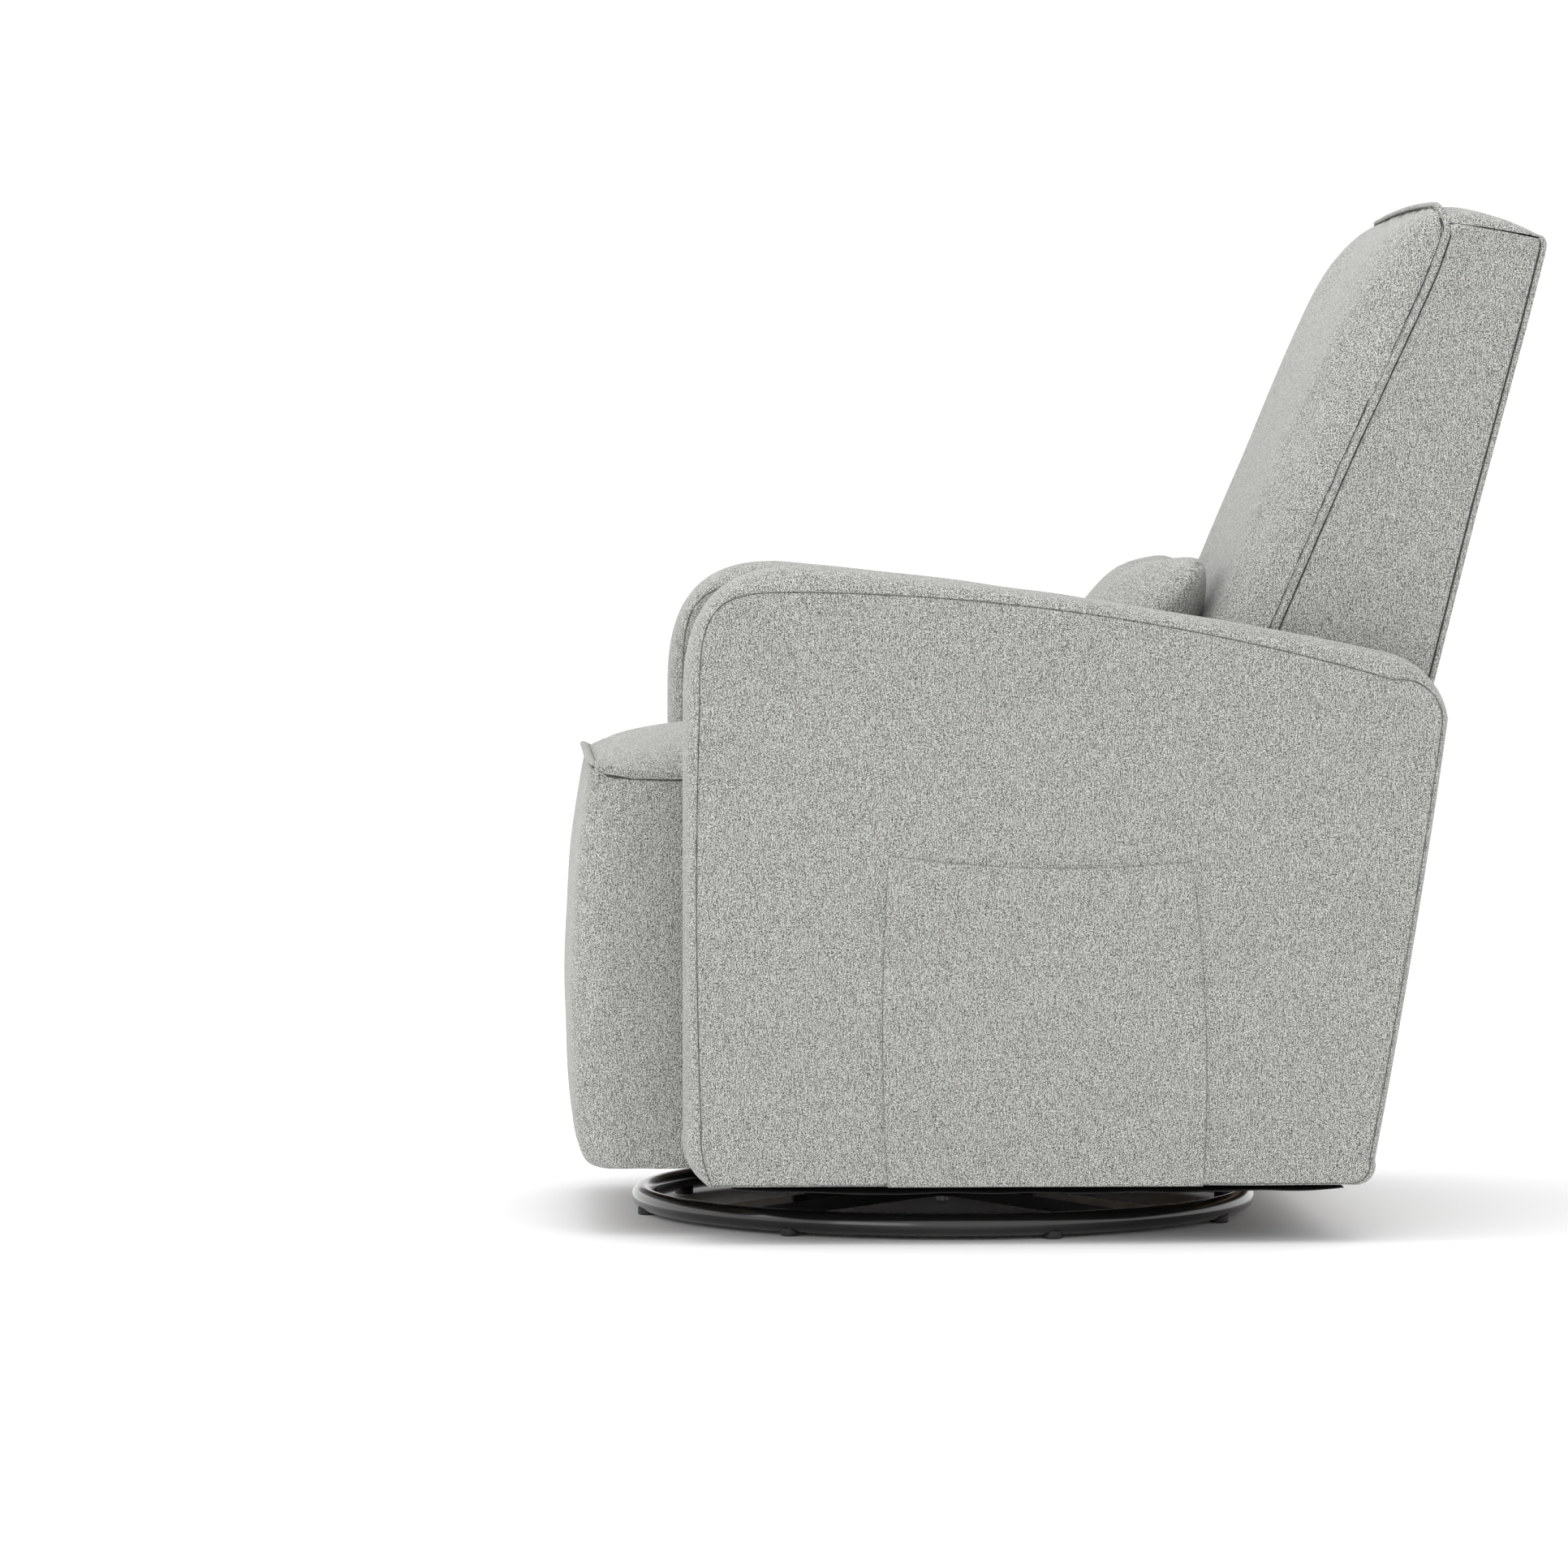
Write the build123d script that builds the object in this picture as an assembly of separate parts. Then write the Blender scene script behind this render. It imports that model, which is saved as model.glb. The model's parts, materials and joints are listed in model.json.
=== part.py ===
from build123d import *
import math
import os

# Swivel glider nursery chair. Millimetres, +Z up, floor at Z 0, the sitter faces -Y and sits
# with the left arm at +X. The origin is the bottom centre of the chair's bounding box.

# ---- driving dimensions -------------------------------------------------------------------
SEAT_HALF = 259.5  # half width of the seat box and of the back, between the arms
ARM_IN = 260.0  # inner face of an arm
ARM_OUT = 350.0  # outer face of an arm, under its pocket
BODY_BOTTOM = 56.0  # underside of the arms
SEAT_BOTTOM = 66.0  # underside of the seat box
BOARD = 18.0  # plywood thickness
BOARD_LOW, BOARD_TOP = 72.0, 395.0  # lower and upper edge of the seat box boards
BOARD_FRONT, BOARD_REAR = -440.0, 245.0  # outer faces of the front and rear boards
RAIL_IN, RAIL_OUT = 230.0, 248.0  # inner and outer face of a seat side board

SWIVEL_Y = -98.0  # the swivel's upright axis, forward of the origin
RING_R = 307.0  # base ring, centreline radius
TUBE_R = 11.0  # base ring tube
FOOT_H = 4.0  # how far the glides lift the ring
RING_Z = FOOT_H + TUBE_R
FOOT_ANGLES = (-122, -81, -33, 17, 61, 105, 149, 193)  # glides round the ring, from +X to +Y
CROSS_TURN = -50.0  # direction of the full-length cross channel
BALL_R, BALL_TRACK, BALL_Z = 6.0, 60.0, 42.0  # swivel bearing

PIVOT_Y = (-215.0, -25.0)  # front and rear link pivots
PIVOT_TOP = 195.0  # pivot height on the swivel carriage
LINK_LENGTH = 120.0
PIVOT_LOW = PIVOT_TOP - LINK_LENGTH  # pivot height on the seat hangers
PIN_R = 5.0
EYE_R = 8.0  # bore of a link's eyes
BUSH_GAP = 0.1  # radial clearance of a bush in its eye
LINK_HALF = 11.0  # half width of a link
BUMPER_R = 7.0
GLIDE_DEG = 28.0  # swing of the links each way

ARM_FRONT, ARM_TOP = -371.0, 660.0
ARM_NOSE_R = 115.0  # round of the arm's front top corner
BACK_KNEE = (370.0, 540.0)  # where the outside back changes slope, behind the arms' rear corner
BACK_TOP_REAR = (482.0, 975.0)
BACK_LOW_REAR = (288.0, 60.0)
LEAN = 0.421  # how far the back's front face leans per millimetre of height
BACK_FRONT_AT_SEAT = (98.0, 500.0)  # a point on the crown of the back cushion
BACK_LOW = 410.0  # bottom of the back cushion, behind the seat cushion
BACK_CROWN = 67.0  # level depth of the back cushion in front of its side seam

CUSHION_LOW = 407.0
SEAM_Z = 456.0  # side seam of the seat cushion
CROWN_Z = 512.0  # top of the seat's crown
PILLOW_HALF = 215.0

POCKET_GAP = 5.0  # free depth inside an arm pocket
POCKET_CLOTH = 1.5
POCKET_Y = (-178.0, 133.0)
POCKET_Z = (58.0, 372.0)

DUST_IN = 190.0  # the dust covers' inner edge, outside the seat rails
BOLT_R = 4.0
ARM_BOLTS = [(y, z) for y in (-280.0, 180.0) for z in (90.0, 330.0)]
RUNNER_Y = ((-405.0, -360.0), (165.0, 210.0))  # the two wooden cross runners


# ---- helpers ------------------------------------------------------------------------------
def save(name, *solids):
    """Writes one node, from one solid or from several separate ones."""
    shape = solids[0] if len(solids) == 1 else Compound(children=list(solids))
    export_step(shape, f"parts/{name}.step")


def block(x, y, z):
    """A box from three (low, high) pairs."""
    size = [pair[1] - pair[0] for pair in (x, y, z)]
    middle = [(pair[0] + pair[1]) / 2 for pair in (x, y, z)]
    return Pos(*middle) * Box(*size)


def side_plate(points, x_low, x_high):
    """A plate cut to a (Y, Z) polygon, from x_low to x_high."""
    face = make_face(Polyline(*points, close=True))
    return extrude(Plane.YZ.offset(x_low) * face, x_high - x_low)


def side_solid(outline, x_low, x_high):
    """As side_plate, from edges instead of corner points."""
    return extrude(Plane.YZ.offset(x_low) * make_face(outline), x_high - x_low)


def upright(radius, x, y, z_low, z_high):
    return Pos(x, y, (z_low + z_high) / 2) * Cylinder(radius, z_high - z_low)


def cross_pin(radius, x_low, x_high, y, z):
    """A round bar along X."""
    return Pos((x_low + x_high) / 2, y, z) * Rot(0, 90, 0) * Cylinder(radius, abs(x_high - x_low))


def both_sides(name, *solids):
    """Writes a left node at +X and its mirror image as the right node."""
    save(name.format("left"), *solids)
    save(name.format("right"), *[mirror(s, Plane.YZ) for s in solids])


def four(make):
    """Solids made by make(y, front) at both pivots, on the left side and mirrored to the right."""
    left = [make(y, y == PIVOT_Y[0]) for y in PIVOT_Y]
    return left + [mirror(s, Plane.YZ) for s in left]


def rear_y(z):
    """The outside back's face: the arms' rear slope up to the knee, the back's own above it."""
    low, high = (BACK_LOW_REAR, BACK_KNEE) if z < BACK_KNEE[1] else (BACK_KNEE, BACK_TOP_REAR)
    return low[0] + (high[0] - low[0]) * (z - low[1]) / (high[1] - low[1])


def front_y(z):
    """The crown of the back cushion."""
    return BACK_FRONT_AT_SEAT[0] + LEAN * (z - BACK_FRONT_AT_SEAT[1])


# ---- base: ring, cross channels, hub, bearing, king bolt and glides -------------------------
def ring():
    return Pos(0, SWIVEL_Y, RING_Z) * Torus(RING_R, TUBE_R)


def ball_groove():
    return Pos(0, SWIVEL_Y, BALL_Z) * Torus(BALL_TRACK, BALL_R + 0.2)


def cross_channel(start, end):
    """An inverted channel along +X from start to end, its ends lower than its middle."""
    half_width, wall, flat, drop = 22.5, 2.5, 42.0, 8.0
    top, depth = 29.0, 13.0
    reach = RING_R - TUBE_R / 2

    def height(r):
        return top - drop * max(0.0, abs(r) - flat) / (reach - flat)

    stations = sorted({start, end, *[s for s in (-flat, flat) if start < s < end]})
    upper = [(r, height(r)) for r in stations]
    outer_pts = upper + [(r, z - depth) for r, z in reversed(upper)]
    inner_pts = [(r, z - wall) for r, z in upper] + [(r, z - 2 * depth) for r, z in reversed(upper)]
    def slab(points, half):
        return extrude(Plane.XZ.offset(-half) * make_face(Polyline(*points, close=True)), 2 * half)

    return slab(outer_pts, half_width) - slab(inner_pts, half_width - wall)


def make_base():
    tube = ring()
    king_hole = upright(6.0, 0, SWIVEL_Y, 0, 60)
    reach = RING_R - 2
    place = Pos(0, SWIVEL_Y, 0) * Rot(0, 0, CROSS_TURN)
    full = place * cross_channel(-reach, reach)
    halves = [place * Rot(0, 0, turn) * cross_channel(22.5, reach) - tube for turn in (90, -90)]
    save("base_ring", tube)
    save("cross_channel_full", full - tube - king_hole)
    save("cross_channel_halves", *halves)
    save("hub_plate", upright(78, 0, SWIVEL_Y, 29, 33) - king_hole)
    race_hole = upright(44, 0, SWIVEL_Y, 30, 60)
    save("bearing_race_lower", upright(75, 0, SWIVEL_Y, 33, 41) - race_hole - ball_groove())
    count = 16
    balls = []
    for i in range(count):
        turn = Rot(0, 0, 360 * i / count)
        balls.append(Pos(0, SWIVEL_Y, BALL_Z) * turn * Pos(BALL_TRACK, 0, 0) * Sphere(BALL_R))
    save("bearing_balls", *balls)

    collar = upright(6.8, 0, SWIVEL_Y, 5.5, 26.5)
    collar = fillet(collar.edges().sort_by(Axis.Z)[0], 4)
    save("king_bolt", collar + upright(6.0, 0, SWIVEL_Y, 26.5, 70))
    washer = upright(15, 0, SWIVEL_Y, 55.3, 57.5)
    nut = Pos(0, SWIVEL_Y, 57.5) * extrude(RegularPolygon(10.5, 6), 10)
    save("king_nut", (washer + nut) - upright(6.0, 0, SWIVEL_Y, 50, 75))

    glides = []
    for angle in FOOT_ANGLES:
        a = math.radians(angle)
        pad = upright(9.5, RING_R * math.cos(a), SWIVEL_Y + RING_R * math.sin(a), 0, 8)
        pad = fillet(pad.edges().sort_by(Axis.Z)[0], 1.5)
        glides.append(pad - tube)
    save("foot_glides", *glides)


# ---- carriage: turns on the bearing and carries the upper pivots ----------------------------
def make_carriage():
    half, wall = 138.0, 4.0
    plate_low, plate_top = 51.0, 55.0
    y_low, y_high = PIVOT_Y[0] - 32, PIVOT_Y[1] + 32
    plate = block((-half, half), (y_low + 12, y_high - 12), (plate_low, plate_top))
    plate -= upright(6.1, 0, SWIVEL_Y, 50, 60)
    rail = block((half - 20, half), (y_low, y_high), (30, plate_low))
    rail -= block((half - 28, half - 3), (y_low - 1, y_high + 1), (33, plate_low - 3))
    save("carriage_rails", rail, mirror(rail, Plane.YZ))

    rivets = []
    for x in (-127, 127):
        for y in (y_low + 40, y_high - 40):
            plate -= upright(4, x, y, 50, 56)
            rivets.append(upright(4, x, y, plate_low, plate_top) + upright(7, x, y, plate_top, 58))
    save("carriage_rivets", *rivets)

    race_hole = upright(44, 0, SWIVEL_Y, 30, 60)
    race = upright(75, 0, SWIVEL_Y, 43, plate_low) - race_hole - ball_groove()
    screws = []
    for i in range(4):
        turn = math.radians(45 + 90 * i)
        x, y = 70.5 * math.cos(turn), SWIVEL_Y + 70.5 * math.sin(turn)
        plate -= upright(2.5, x, y, 40, 60)
        race -= upright(2.5, x, y, 45, 60)
        screws.append(upright(2.5, x, y, 45, plate_top) + upright(5, x, y, plate_top, 58))
    save("carriage_plate", plate)
    save("bearing_race_upper", race)
    save("race_screws", *screws)

    def tower(y, front):
        out = -1 if front else 1
        shape = [(-32, 30), (-32, 60), (-17, 212), (17, 212)]
        shape += [(45, 165), (62, 150), (62, 120), (32, 70), (32, 30)]
        plate = side_plate([(y + out * u, z) for u, z in shape], half, half + wall)
        return plate - cross_pin(PIN_R, 130, 150, y, PIVOT_TOP)

    def pivot_pin(y, front):
        return cross_pin(PIN_R, half, 149, y, PIVOT_TOP) + cross_pin(9, half - 5, half, y, PIVOT_TOP)

    def bumper(y, front):
        out = -1 if front else 1
        swing = math.radians(GLIDE_DEG + 0.5)
        along, beside = 70.0, LINK_HALF + BUMPER_R + 2.0
        u = along * math.sin(swing) + beside * math.cos(swing)
        v = -along * math.cos(swing) + beside * math.sin(swing)
        return cross_pin(BUMPER_R, half + wall, 148, y + out * u, PIVOT_TOP + v)

    save("carriage_towers", *four(tower))
    save("upper_pivot_pins", *four(pivot_pin))
    save("upper_bushes", *four(lambda y, front: bush(y, PIVOT_TOP)))
    save("stop_bumpers", *four(bumper))


# ---- links: the four swinging arms that the seat hangs from ---------------------------------
def bush(y, z):
    """A nylon bush, tight on its pin and free in the link's eye."""
    return cross_pin(EYE_R - BUSH_GAP, 143, 149, y, z) - cross_pin(PIN_R, 140, 152, y, z)


def make_links():
    x_low, x_high = 144.0, 148.0
    for place, y in zip(("front", "rear"), PIVOT_Y):
        bar = block((x_low, x_high), (y - LINK_HALF, y + LINK_HALF), (PIVOT_LOW, PIVOT_TOP))
        for z in (PIVOT_TOP, PIVOT_LOW):
            bar += cross_pin(EYE_R + 5, x_low, x_high, y, z)
        for z in (PIVOT_TOP, PIVOT_LOW):
            bar -= cross_pin(EYE_R, 140, 152, y, z)
        both_sides(f"link_{place}_{{}}", bar)


# ---- seat mechanism: hangers, rails and their fasteners --------------------------------------
def make_seat_steel():
    top = 118.0
    y_low, y_high = RUNNER_Y[0][0], RUNNER_Y[1][1]
    rail = block((150, 154), (y_low, y_high), (88, top)) + block((154, 186), (y_low, y_high), (top - 3, top))
    bolts = []
    for low, high in RUNNER_Y:
        middle = (low + high) / 2
        rail -= upright(BOLT_R, 172, middle, 100, 130)
        head = upright(8, 172, middle, top - 9, top - 3)
        bolts.append(head + upright(BOLT_R, 172, middle, top - 3, top + 42))
    save("seat_rails", rail, mirror(rail, Plane.YZ))
    save("rail_bolts", *bolts, *[mirror(b, Plane.YZ) for b in bolts])

    def hanger(y, front):
        shape = [(-26, 110), (-15, 62), (15, 62), (26, 110)]
        plate = side_plate([(y + u, z) for u, z in shape], 154, 158)
        return plate - cross_pin(PIN_R, 140, 170, y, PIVOT_LOW)

    def lower_pin(y, front):
        return cross_pin(PIN_R, 143, 158, y, PIVOT_LOW) + cross_pin(9, 158, 163, y, PIVOT_LOW)

    save("seat_hangers", *four(hanger))
    save("lower_pivot_pins", *four(lower_pin))
    save("lower_bushes", *four(lambda y, front: bush(y, PIVOT_LOW)))
    save("rail_ties", *[cross_pin(9.5, -150, 150, y, 100) for y in (y_low + 18, y_high - 18)])


# ---- seat box: boards, runners, blocks and springs -------------------------------------------
def make_seat_box():
    boards = (BOARD_LOW, BOARD_TOP)
    front = block((-RAIL_IN, RAIL_IN), (BOARD_FRONT, BOARD_FRONT + BOARD), boards)
    rear = block((-RAIL_IN, RAIL_IN), (BOARD_REAR - BOARD, BOARD_REAR), boards)
    side = block((RAIL_IN, RAIL_OUT), (BOARD_FRONT, BOARD_REAR), boards)
    for y, z in ARM_BOLTS:
        side -= cross_pin(BOLT_R, 200, 300, y, z)
    save("front_board", front)
    save("rear_board", rear)
    save("side_boards", side, mirror(side, Plane.YZ))

    runners = []
    for low, high in RUNNER_Y:
        runner = block((-RAIL_IN, RAIL_IN), (low, high), (118, 154))
        for x in (-172, 172):
            runner -= upright(BOLT_R, x, (low + high) / 2, 110, 170)
        runners.append(runner)
    save("seat_runners", *runners)

    leg = 60.0
    corner = make_face(Polyline((0, 0), (leg, 0), (0, leg), close=True))
    blocks = []
    for x, y, turn in (
        (-RAIL_IN, BOARD_FRONT + BOARD, 0),
        (RAIL_IN, BOARD_FRONT + BOARD, 90),
        (RAIL_IN, BOARD_REAR - BOARD, 180),
        (-RAIL_IN, BOARD_REAR - BOARD, 270),
    ):
        blocks.append(Pos(x, y, 180) * Rot(0, 0, turn) * extrude(corner, 100))
    save("corner_blocks", *blocks)


def sinuous_spring(passes, pitch, width, wire):
    """Zigzag wire in the XY plane, from a cross bar at Y 0 to one at the far end."""
    half = width / 2
    edges = []
    for i in range(passes):
        side = 1 if i % 2 == 0 else -1
        edges.append(Line((-side * half, i * pitch), (side * half, i * pitch)))
        if i < passes - 1:
            bend = (side * (half + pitch / 2), (i + 0.5) * pitch)
            edges.append(ThreePointArc((side * half, i * pitch), bend, (side * half, (i + 1) * pitch)))
    path = Wire(edges)
    section = Plane(path @ 0, z_dir=path % 0) * Circle(wire / 2)
    return sweep(section, path=path)


def make_springs():
    wire, passes = 3.8, 25
    first, last = BOARD_FRONT + BOARD / 2, BOARD_REAR - BOARD / 2
    pitch = (last - first) / (passes - 1)
    spring_z = BOARD_TOP + 3.5
    one = sinuous_spring(passes, pitch, 34.0, wire)
    places = [-165.0, -55.0, 55.0, 165.0]
    save("seat_springs", *[Pos(x, first, spring_z) * one for x in places])
    clips = []
    for x in places:
        for y in (first, last):
            clip = block((x - 9, x + 9), (y - 6, y + 6), (BOARD_TOP, BOARD_TOP + 7.5))
            clips.append(clip - cross_pin(wire / 2, x - 20, x + 20, y, spring_z))
    save("spring_clips", *clips)
    deck = block((-RAIL_OUT, RAIL_OUT), (BOARD_FRONT, BOARD_REAR), (BOARD_TOP + 8, CUSHION_LOW - 0.5))
    save("spring_felt", deck)


# ---- seat upholstery --------------------------------------------------------------------------
def make_seat_soft():
    pad_top = CUSHION_LOW - 0.5
    bulge = ThreePointArc((-462, pad_top), (-481, 240), (-470, 84))
    toe = ThreePointArc((-470, 84), (-465, 71), (-452, SEAT_BOTTOM))
    rest = Polyline((-452, SEAT_BOTTOM), (BOARD_FRONT, SEAT_BOTTOM), (BOARD_FRONT, pad_top), (-462, pad_top))
    panel = side_solid([*bulge.edges(), *toe.edges(), *rest.edges()], -SEAT_HALF, SEAT_HALF)
    save("seat_front_panel", panel)

    side = block((RAIL_OUT, SEAT_HALF), (BOARD_FRONT, BOARD_REAR), (SEAT_BOTTOM, BOARD_TOP + 7.5))
    for y, z in ARM_BOLTS:
        side -= cross_pin(BOLT_R, 200, 300, y, z)
    save("seat_side_panels", side, mirror(side, Plane.YZ))

    clear = 3.0
    top = ThreePointArc((-440, 482), (-200, CROWN_Z), (front_y(504) - clear, 504))
    nose = ThreePointArc((-461, 466), (-455, 475), (-440, 482))
    back_face = Line((front_y(504) - clear, 504), (front_y(CUSHION_LOW) - clear, CUSHION_LOW))
    under = Line((front_y(CUSHION_LOW) - clear, CUSHION_LOW), (-462, CUSHION_LOW))
    front = Line((-462, CUSHION_LOW), (-461, 466))
    outline = [*top.edges(), *nose.edges(), *back_face.edges(), *under.edges(), *front.edges()]
    cushion = side_solid(outline, -SEAT_HALF, SEAT_HALF)
    crown = ThreePointArc((-SEAT_HALF, SEAM_Z + 4), (0, CROWN_Z + 1), (SEAT_HALF, SEAM_Z + 4))
    walls = Polyline((SEAT_HALF, SEAM_Z + 4), (SEAT_HALF, 400), (-SEAT_HALF, 400), (-SEAT_HALF, SEAM_Z + 4))
    dome = extrude(Plane.XZ.offset(-300) * make_face([*crown.edges(), *walls.edges()]), 900)
    save("seat_cushion", cushion & dome)


# ---- arms ---------------------------------------------------------------------------------------
def arm_outline():
    nose_y, nose_z = ARM_FRONT + ARM_NOSE_R, ARM_TOP - ARM_NOSE_R
    slant = ARM_NOSE_R * math.sqrt(0.5)
    toe_start, toe_end = (ARM_FRONT, 112.0), (-341.0, BODY_BOTTOM)
    shoulder, rear_top = (305.0, 577.0), (369.5, 512.0)
    heel_start, heel_end = (rear_y(80) + 8, 80.0), (280.0, BODY_BOTTOM)
    edges = [
        Line(toe_start, (ARM_FRONT, nose_z)),
        ThreePointArc((ARM_FRONT, nose_z), (nose_y - slant, nose_z + slant), (nose_y, ARM_TOP)),
        ThreePointArc((nose_y, ARM_TOP), (16, 629), shoulder),
        ThreePointArc(shoulder, (351, 552), rear_top),
        Line(rear_top, heel_start),
        ThreePointArc(heel_start, (296, 62), heel_end),
        Line(heel_end, toe_end),
        ThreePointArc(toe_end, (-362, 72), toe_start),
    ]
    return [e for line in edges for e in line.edges()]


def make_arms():
    cavity_in, cavity_out = ARM_IN + 15, ARM_OUT - 15
    inner = [(-350, 40), (-350, 560), (-300, 625), (-240, 638), (280, 560), (345, 500), (280, 90), (280, 40)]
    shell = side_solid(arm_outline(), ARM_IN, ARM_OUT)
    long_edges = [e for e in shell.edges() if e.length > 40 and e.center().Z > 150]
    outer_edges = [e for e in long_edges if abs(e.center().X - ARM_OUT) < 1 or abs(e.center().X - ARM_IN) < 1]
    shell = fillet(outer_edges, 14)
    shell -= side_plate(inner, cavity_in, cavity_out)
    for y, z in ARM_BOLTS:
        shell -= cross_pin(BOLT_R, 250, 290, y, z)
    both_sides("arm_pad_{}", shell)

    def board(points):
        plank = side_plate(points, cavity_in, cavity_out)
        for y, z in ARM_BOLTS:
            plank -= cross_pin(BOLT_R, 250, 312, y, z)
        return plank

    boards = [
        board([(-350, 58), (280, 58), (280, 90), (283, 118), (-350, 118)]),
        board([(-350, 118), (-310, 118), (-310, 612), (-350, 560)]),
        board([(250, 118), (283, 118), (345, 500), (312, 530)]),
        board([(-310, 612), (-300, 625), (-240, 638), (280, 560), (312, 530), (-240, 604)]),
        board([(-310, 300), (275, 300), (285, 360), (-310, 360)]),
    ]
    both_sides("arm_frame_{}", *boards)

    bolts = []
    for y, z in ARM_BOLTS:
        bolts.append(cross_pin(BOLT_R, RAIL_IN, 310, y, z) + cross_pin(9, RAIL_IN - 6, RAIL_IN, y, z))
    save("arm_bolts", *bolts, *[mirror(b, Plane.YZ) for b in bolts])

    face = ARM_OUT + POCKET_GAP
    pocket = block((ARM_OUT, face + POCKET_CLOTH), POCKET_Y, POCKET_Z)
    room_y = (POCKET_Y[0] + POCKET_CLOTH, POCKET_Y[1] - POCKET_CLOTH)
    pocket -= block((ARM_OUT - 1, face), room_y, (POCKET_Z[0] + POCKET_CLOTH, POCKET_Z[1] + 1))
    both_sides("arm_pocket_{}", pocket)
    cover = block((DUST_IN, ARM_OUT - 5), (-325, 272), (BODY_BOTTOM - 4, BODY_BOTTOM - 2))
    both_sides("dust_cover_{}", cover)


# ---- back ----------------------------------------------------------------------------------------
def seam_points():
    """Front edge of the back's side panels, from the seat up to the top corner."""
    straight_top = 915.0
    return [
        (front_y(BACK_LOW) + BACK_CROWN, BACK_LOW),
        (front_y(straight_top) + BACK_CROWN, straight_top),
        (384.0, 990.0),
    ]


def make_back_soft():
    low, bend, top = seam_points()
    crest = (376.0, 1013.0)
    face_low = (front_y(BACK_LOW), BACK_LOW)
    face_high = (front_y(875), 875.0)
    cushion_line = [
        Line(face_low, face_high),
        ThreePointArc(face_high, (306, 968), crest),
        Line(crest, top),
        Line(top, bend),
        Line(bend, low),
        Line(low, face_low),
    ]
    cushion = side_solid([e for c in cushion_line for e in c.edges()], -SEAT_HALF + 0.5, SEAT_HALF - 0.5)
    reach = 25.0  # the crown's arc lies this close to the straight front line
    rims = [e for e in cushion.edges() if abs(e.center().X) > SEAT_HALF - 5 and e.length > 100]
    save("back_cushion", fillet([e for e in rims if e.center().Y < front_y(e.center().Z) + reach], 38))

    skin = 10.0
    outside = [(rear_y(z), z) for z in (60.0, BACK_KNEE[1], 975.0)]
    panel_pts = outside + [(y - skin, z) for y, z in reversed(outside)]
    save("back_outer_panel", side_plate(panel_pts, -SEAT_HALF, SEAT_HALF))

    thick = 14.0
    rear = [(rear_y(z) - skin, z) for z in (975.0, BACK_KNEE[1], BACK_LOW)]
    side = side_plate([low, bend, top, *rear], SEAT_HALF - thick, SEAT_HALF)
    both_sides("back_side_panel_{}", side)
    cap_arc = ThreePointArc((384, 1012), (432, 1003), (481, 984))
    cap_rest = Polyline((481, 984), (482, 975.5), (472, 975.5), (384, 990.5), (384, 1012))
    save("back_top_panel", side_solid([*cap_arc.edges(), *cap_rest.edges()], -SEAT_HALF, SEAT_HALF))


def make_back_frame():
    lean = math.degrees(math.atan2(BACK_TOP_REAR[0] - BACK_KNEE[0], BACK_TOP_REAR[1] - BACK_KNEE[1]))
    depth, gap = 58.0, 12.0
    rear = [(rear_y(z) - gap, z) for z in (240.0, BACK_KNEE[1], 955.0)]
    front = [(y - depth, z) for y, z in reversed(rear)]
    stile_in, stile_out = 220.0, 242.0
    holes = (290.0, 325.0)
    stile = side_plate(rear + front, stile_in, stile_out)
    for z in holes:
        stile -= cross_pin(3, stile_in - 1, stile_in + 15, 285, z)
    save("back_stiles", stile, mirror(stile, Plane.YZ))

    rail_height, rail_depth = 45.0, 22.0
    rails = []
    for z in (430.0, 640.0, 905.0):
        low, high = rear_y(z) - gap, rear_y(z + rail_height) - gap
        top = z + rail_height
        points = [(low, z), (high, top), (high - rail_depth, top), (low - rail_depth, z)]
        rails.append(side_plate(points, -stile_in, stile_in))
    save("back_rails", *rails)

    straps = []
    for z in (580.0, 710.0, 780.0, 850.0):
        y = rear_y(z) - gap - depth - 1.6
        straps.append(Pos(0, y, z) * Rot(-lean, 0, 0) * Box(2 * stile_out, 2, 50))
    save("back_webbing", *straps)

    sheet = 3.0
    z_low, z_high = holes[0] - 20, holes[1] + 20
    leg_y = block((stile_in - sheet, stile_in), (BOARD_REAR, 305), (z_low, z_high))
    leg_x = block((stile_in - 40, stile_in - sheet), (BOARD_REAR, BOARD_REAR + sheet), (z_low, z_high))
    bracket = leg_y + leg_x
    screws = []
    for z in holes:
        bracket -= cross_pin(3, stile_in - 10, stile_in + 1, 285, z)
        screws.append(cross_pin(3, stile_in - sheet, stile_in + 15, 285, z) + cross_pin(6, 213, 217, 285, z))
    save("back_brackets", bracket, mirror(bracket, Plane.YZ))
    save("bracket_screws", *screws, *[mirror(s, Plane.YZ) for s in screws])


# ---- loose lumbar pillow ----------------------------------------------------------------------
def make_pillow():
    lean = 43.0
    section = Plane.YZ.offset(-PILLOW_HALF) * Pos(58, 575) * Rot(0, 0, -lean) * Ellipse(62, 120)
    pillow = extrude(section, 2 * PILLOW_HALF)
    seat_clear = CROWN_Z + 2
    pillow -= block((-300, 300), (-200, 300), (300, seat_clear))
    z_low, z_high = 400.0, 800.0
    back_zone = [(front_y(z_low) - 2, z_low), (front_y(z_high) - 2, z_high), (600, z_high), (600, z_low)]
    save("lumbar_pillow", pillow - side_plate(back_zone, -300, 300))


os.makedirs("parts", exist_ok=True)
make_base()
make_carriage()
make_links()
make_seat_steel()
make_seat_box()
make_springs()
make_seat_soft()
make_arms()
make_back_soft()
make_back_frame()
make_pillow()
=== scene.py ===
import json
import math

import bmesh
import bpy
import numpy as np
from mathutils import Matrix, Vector, geometry, noise


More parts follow.
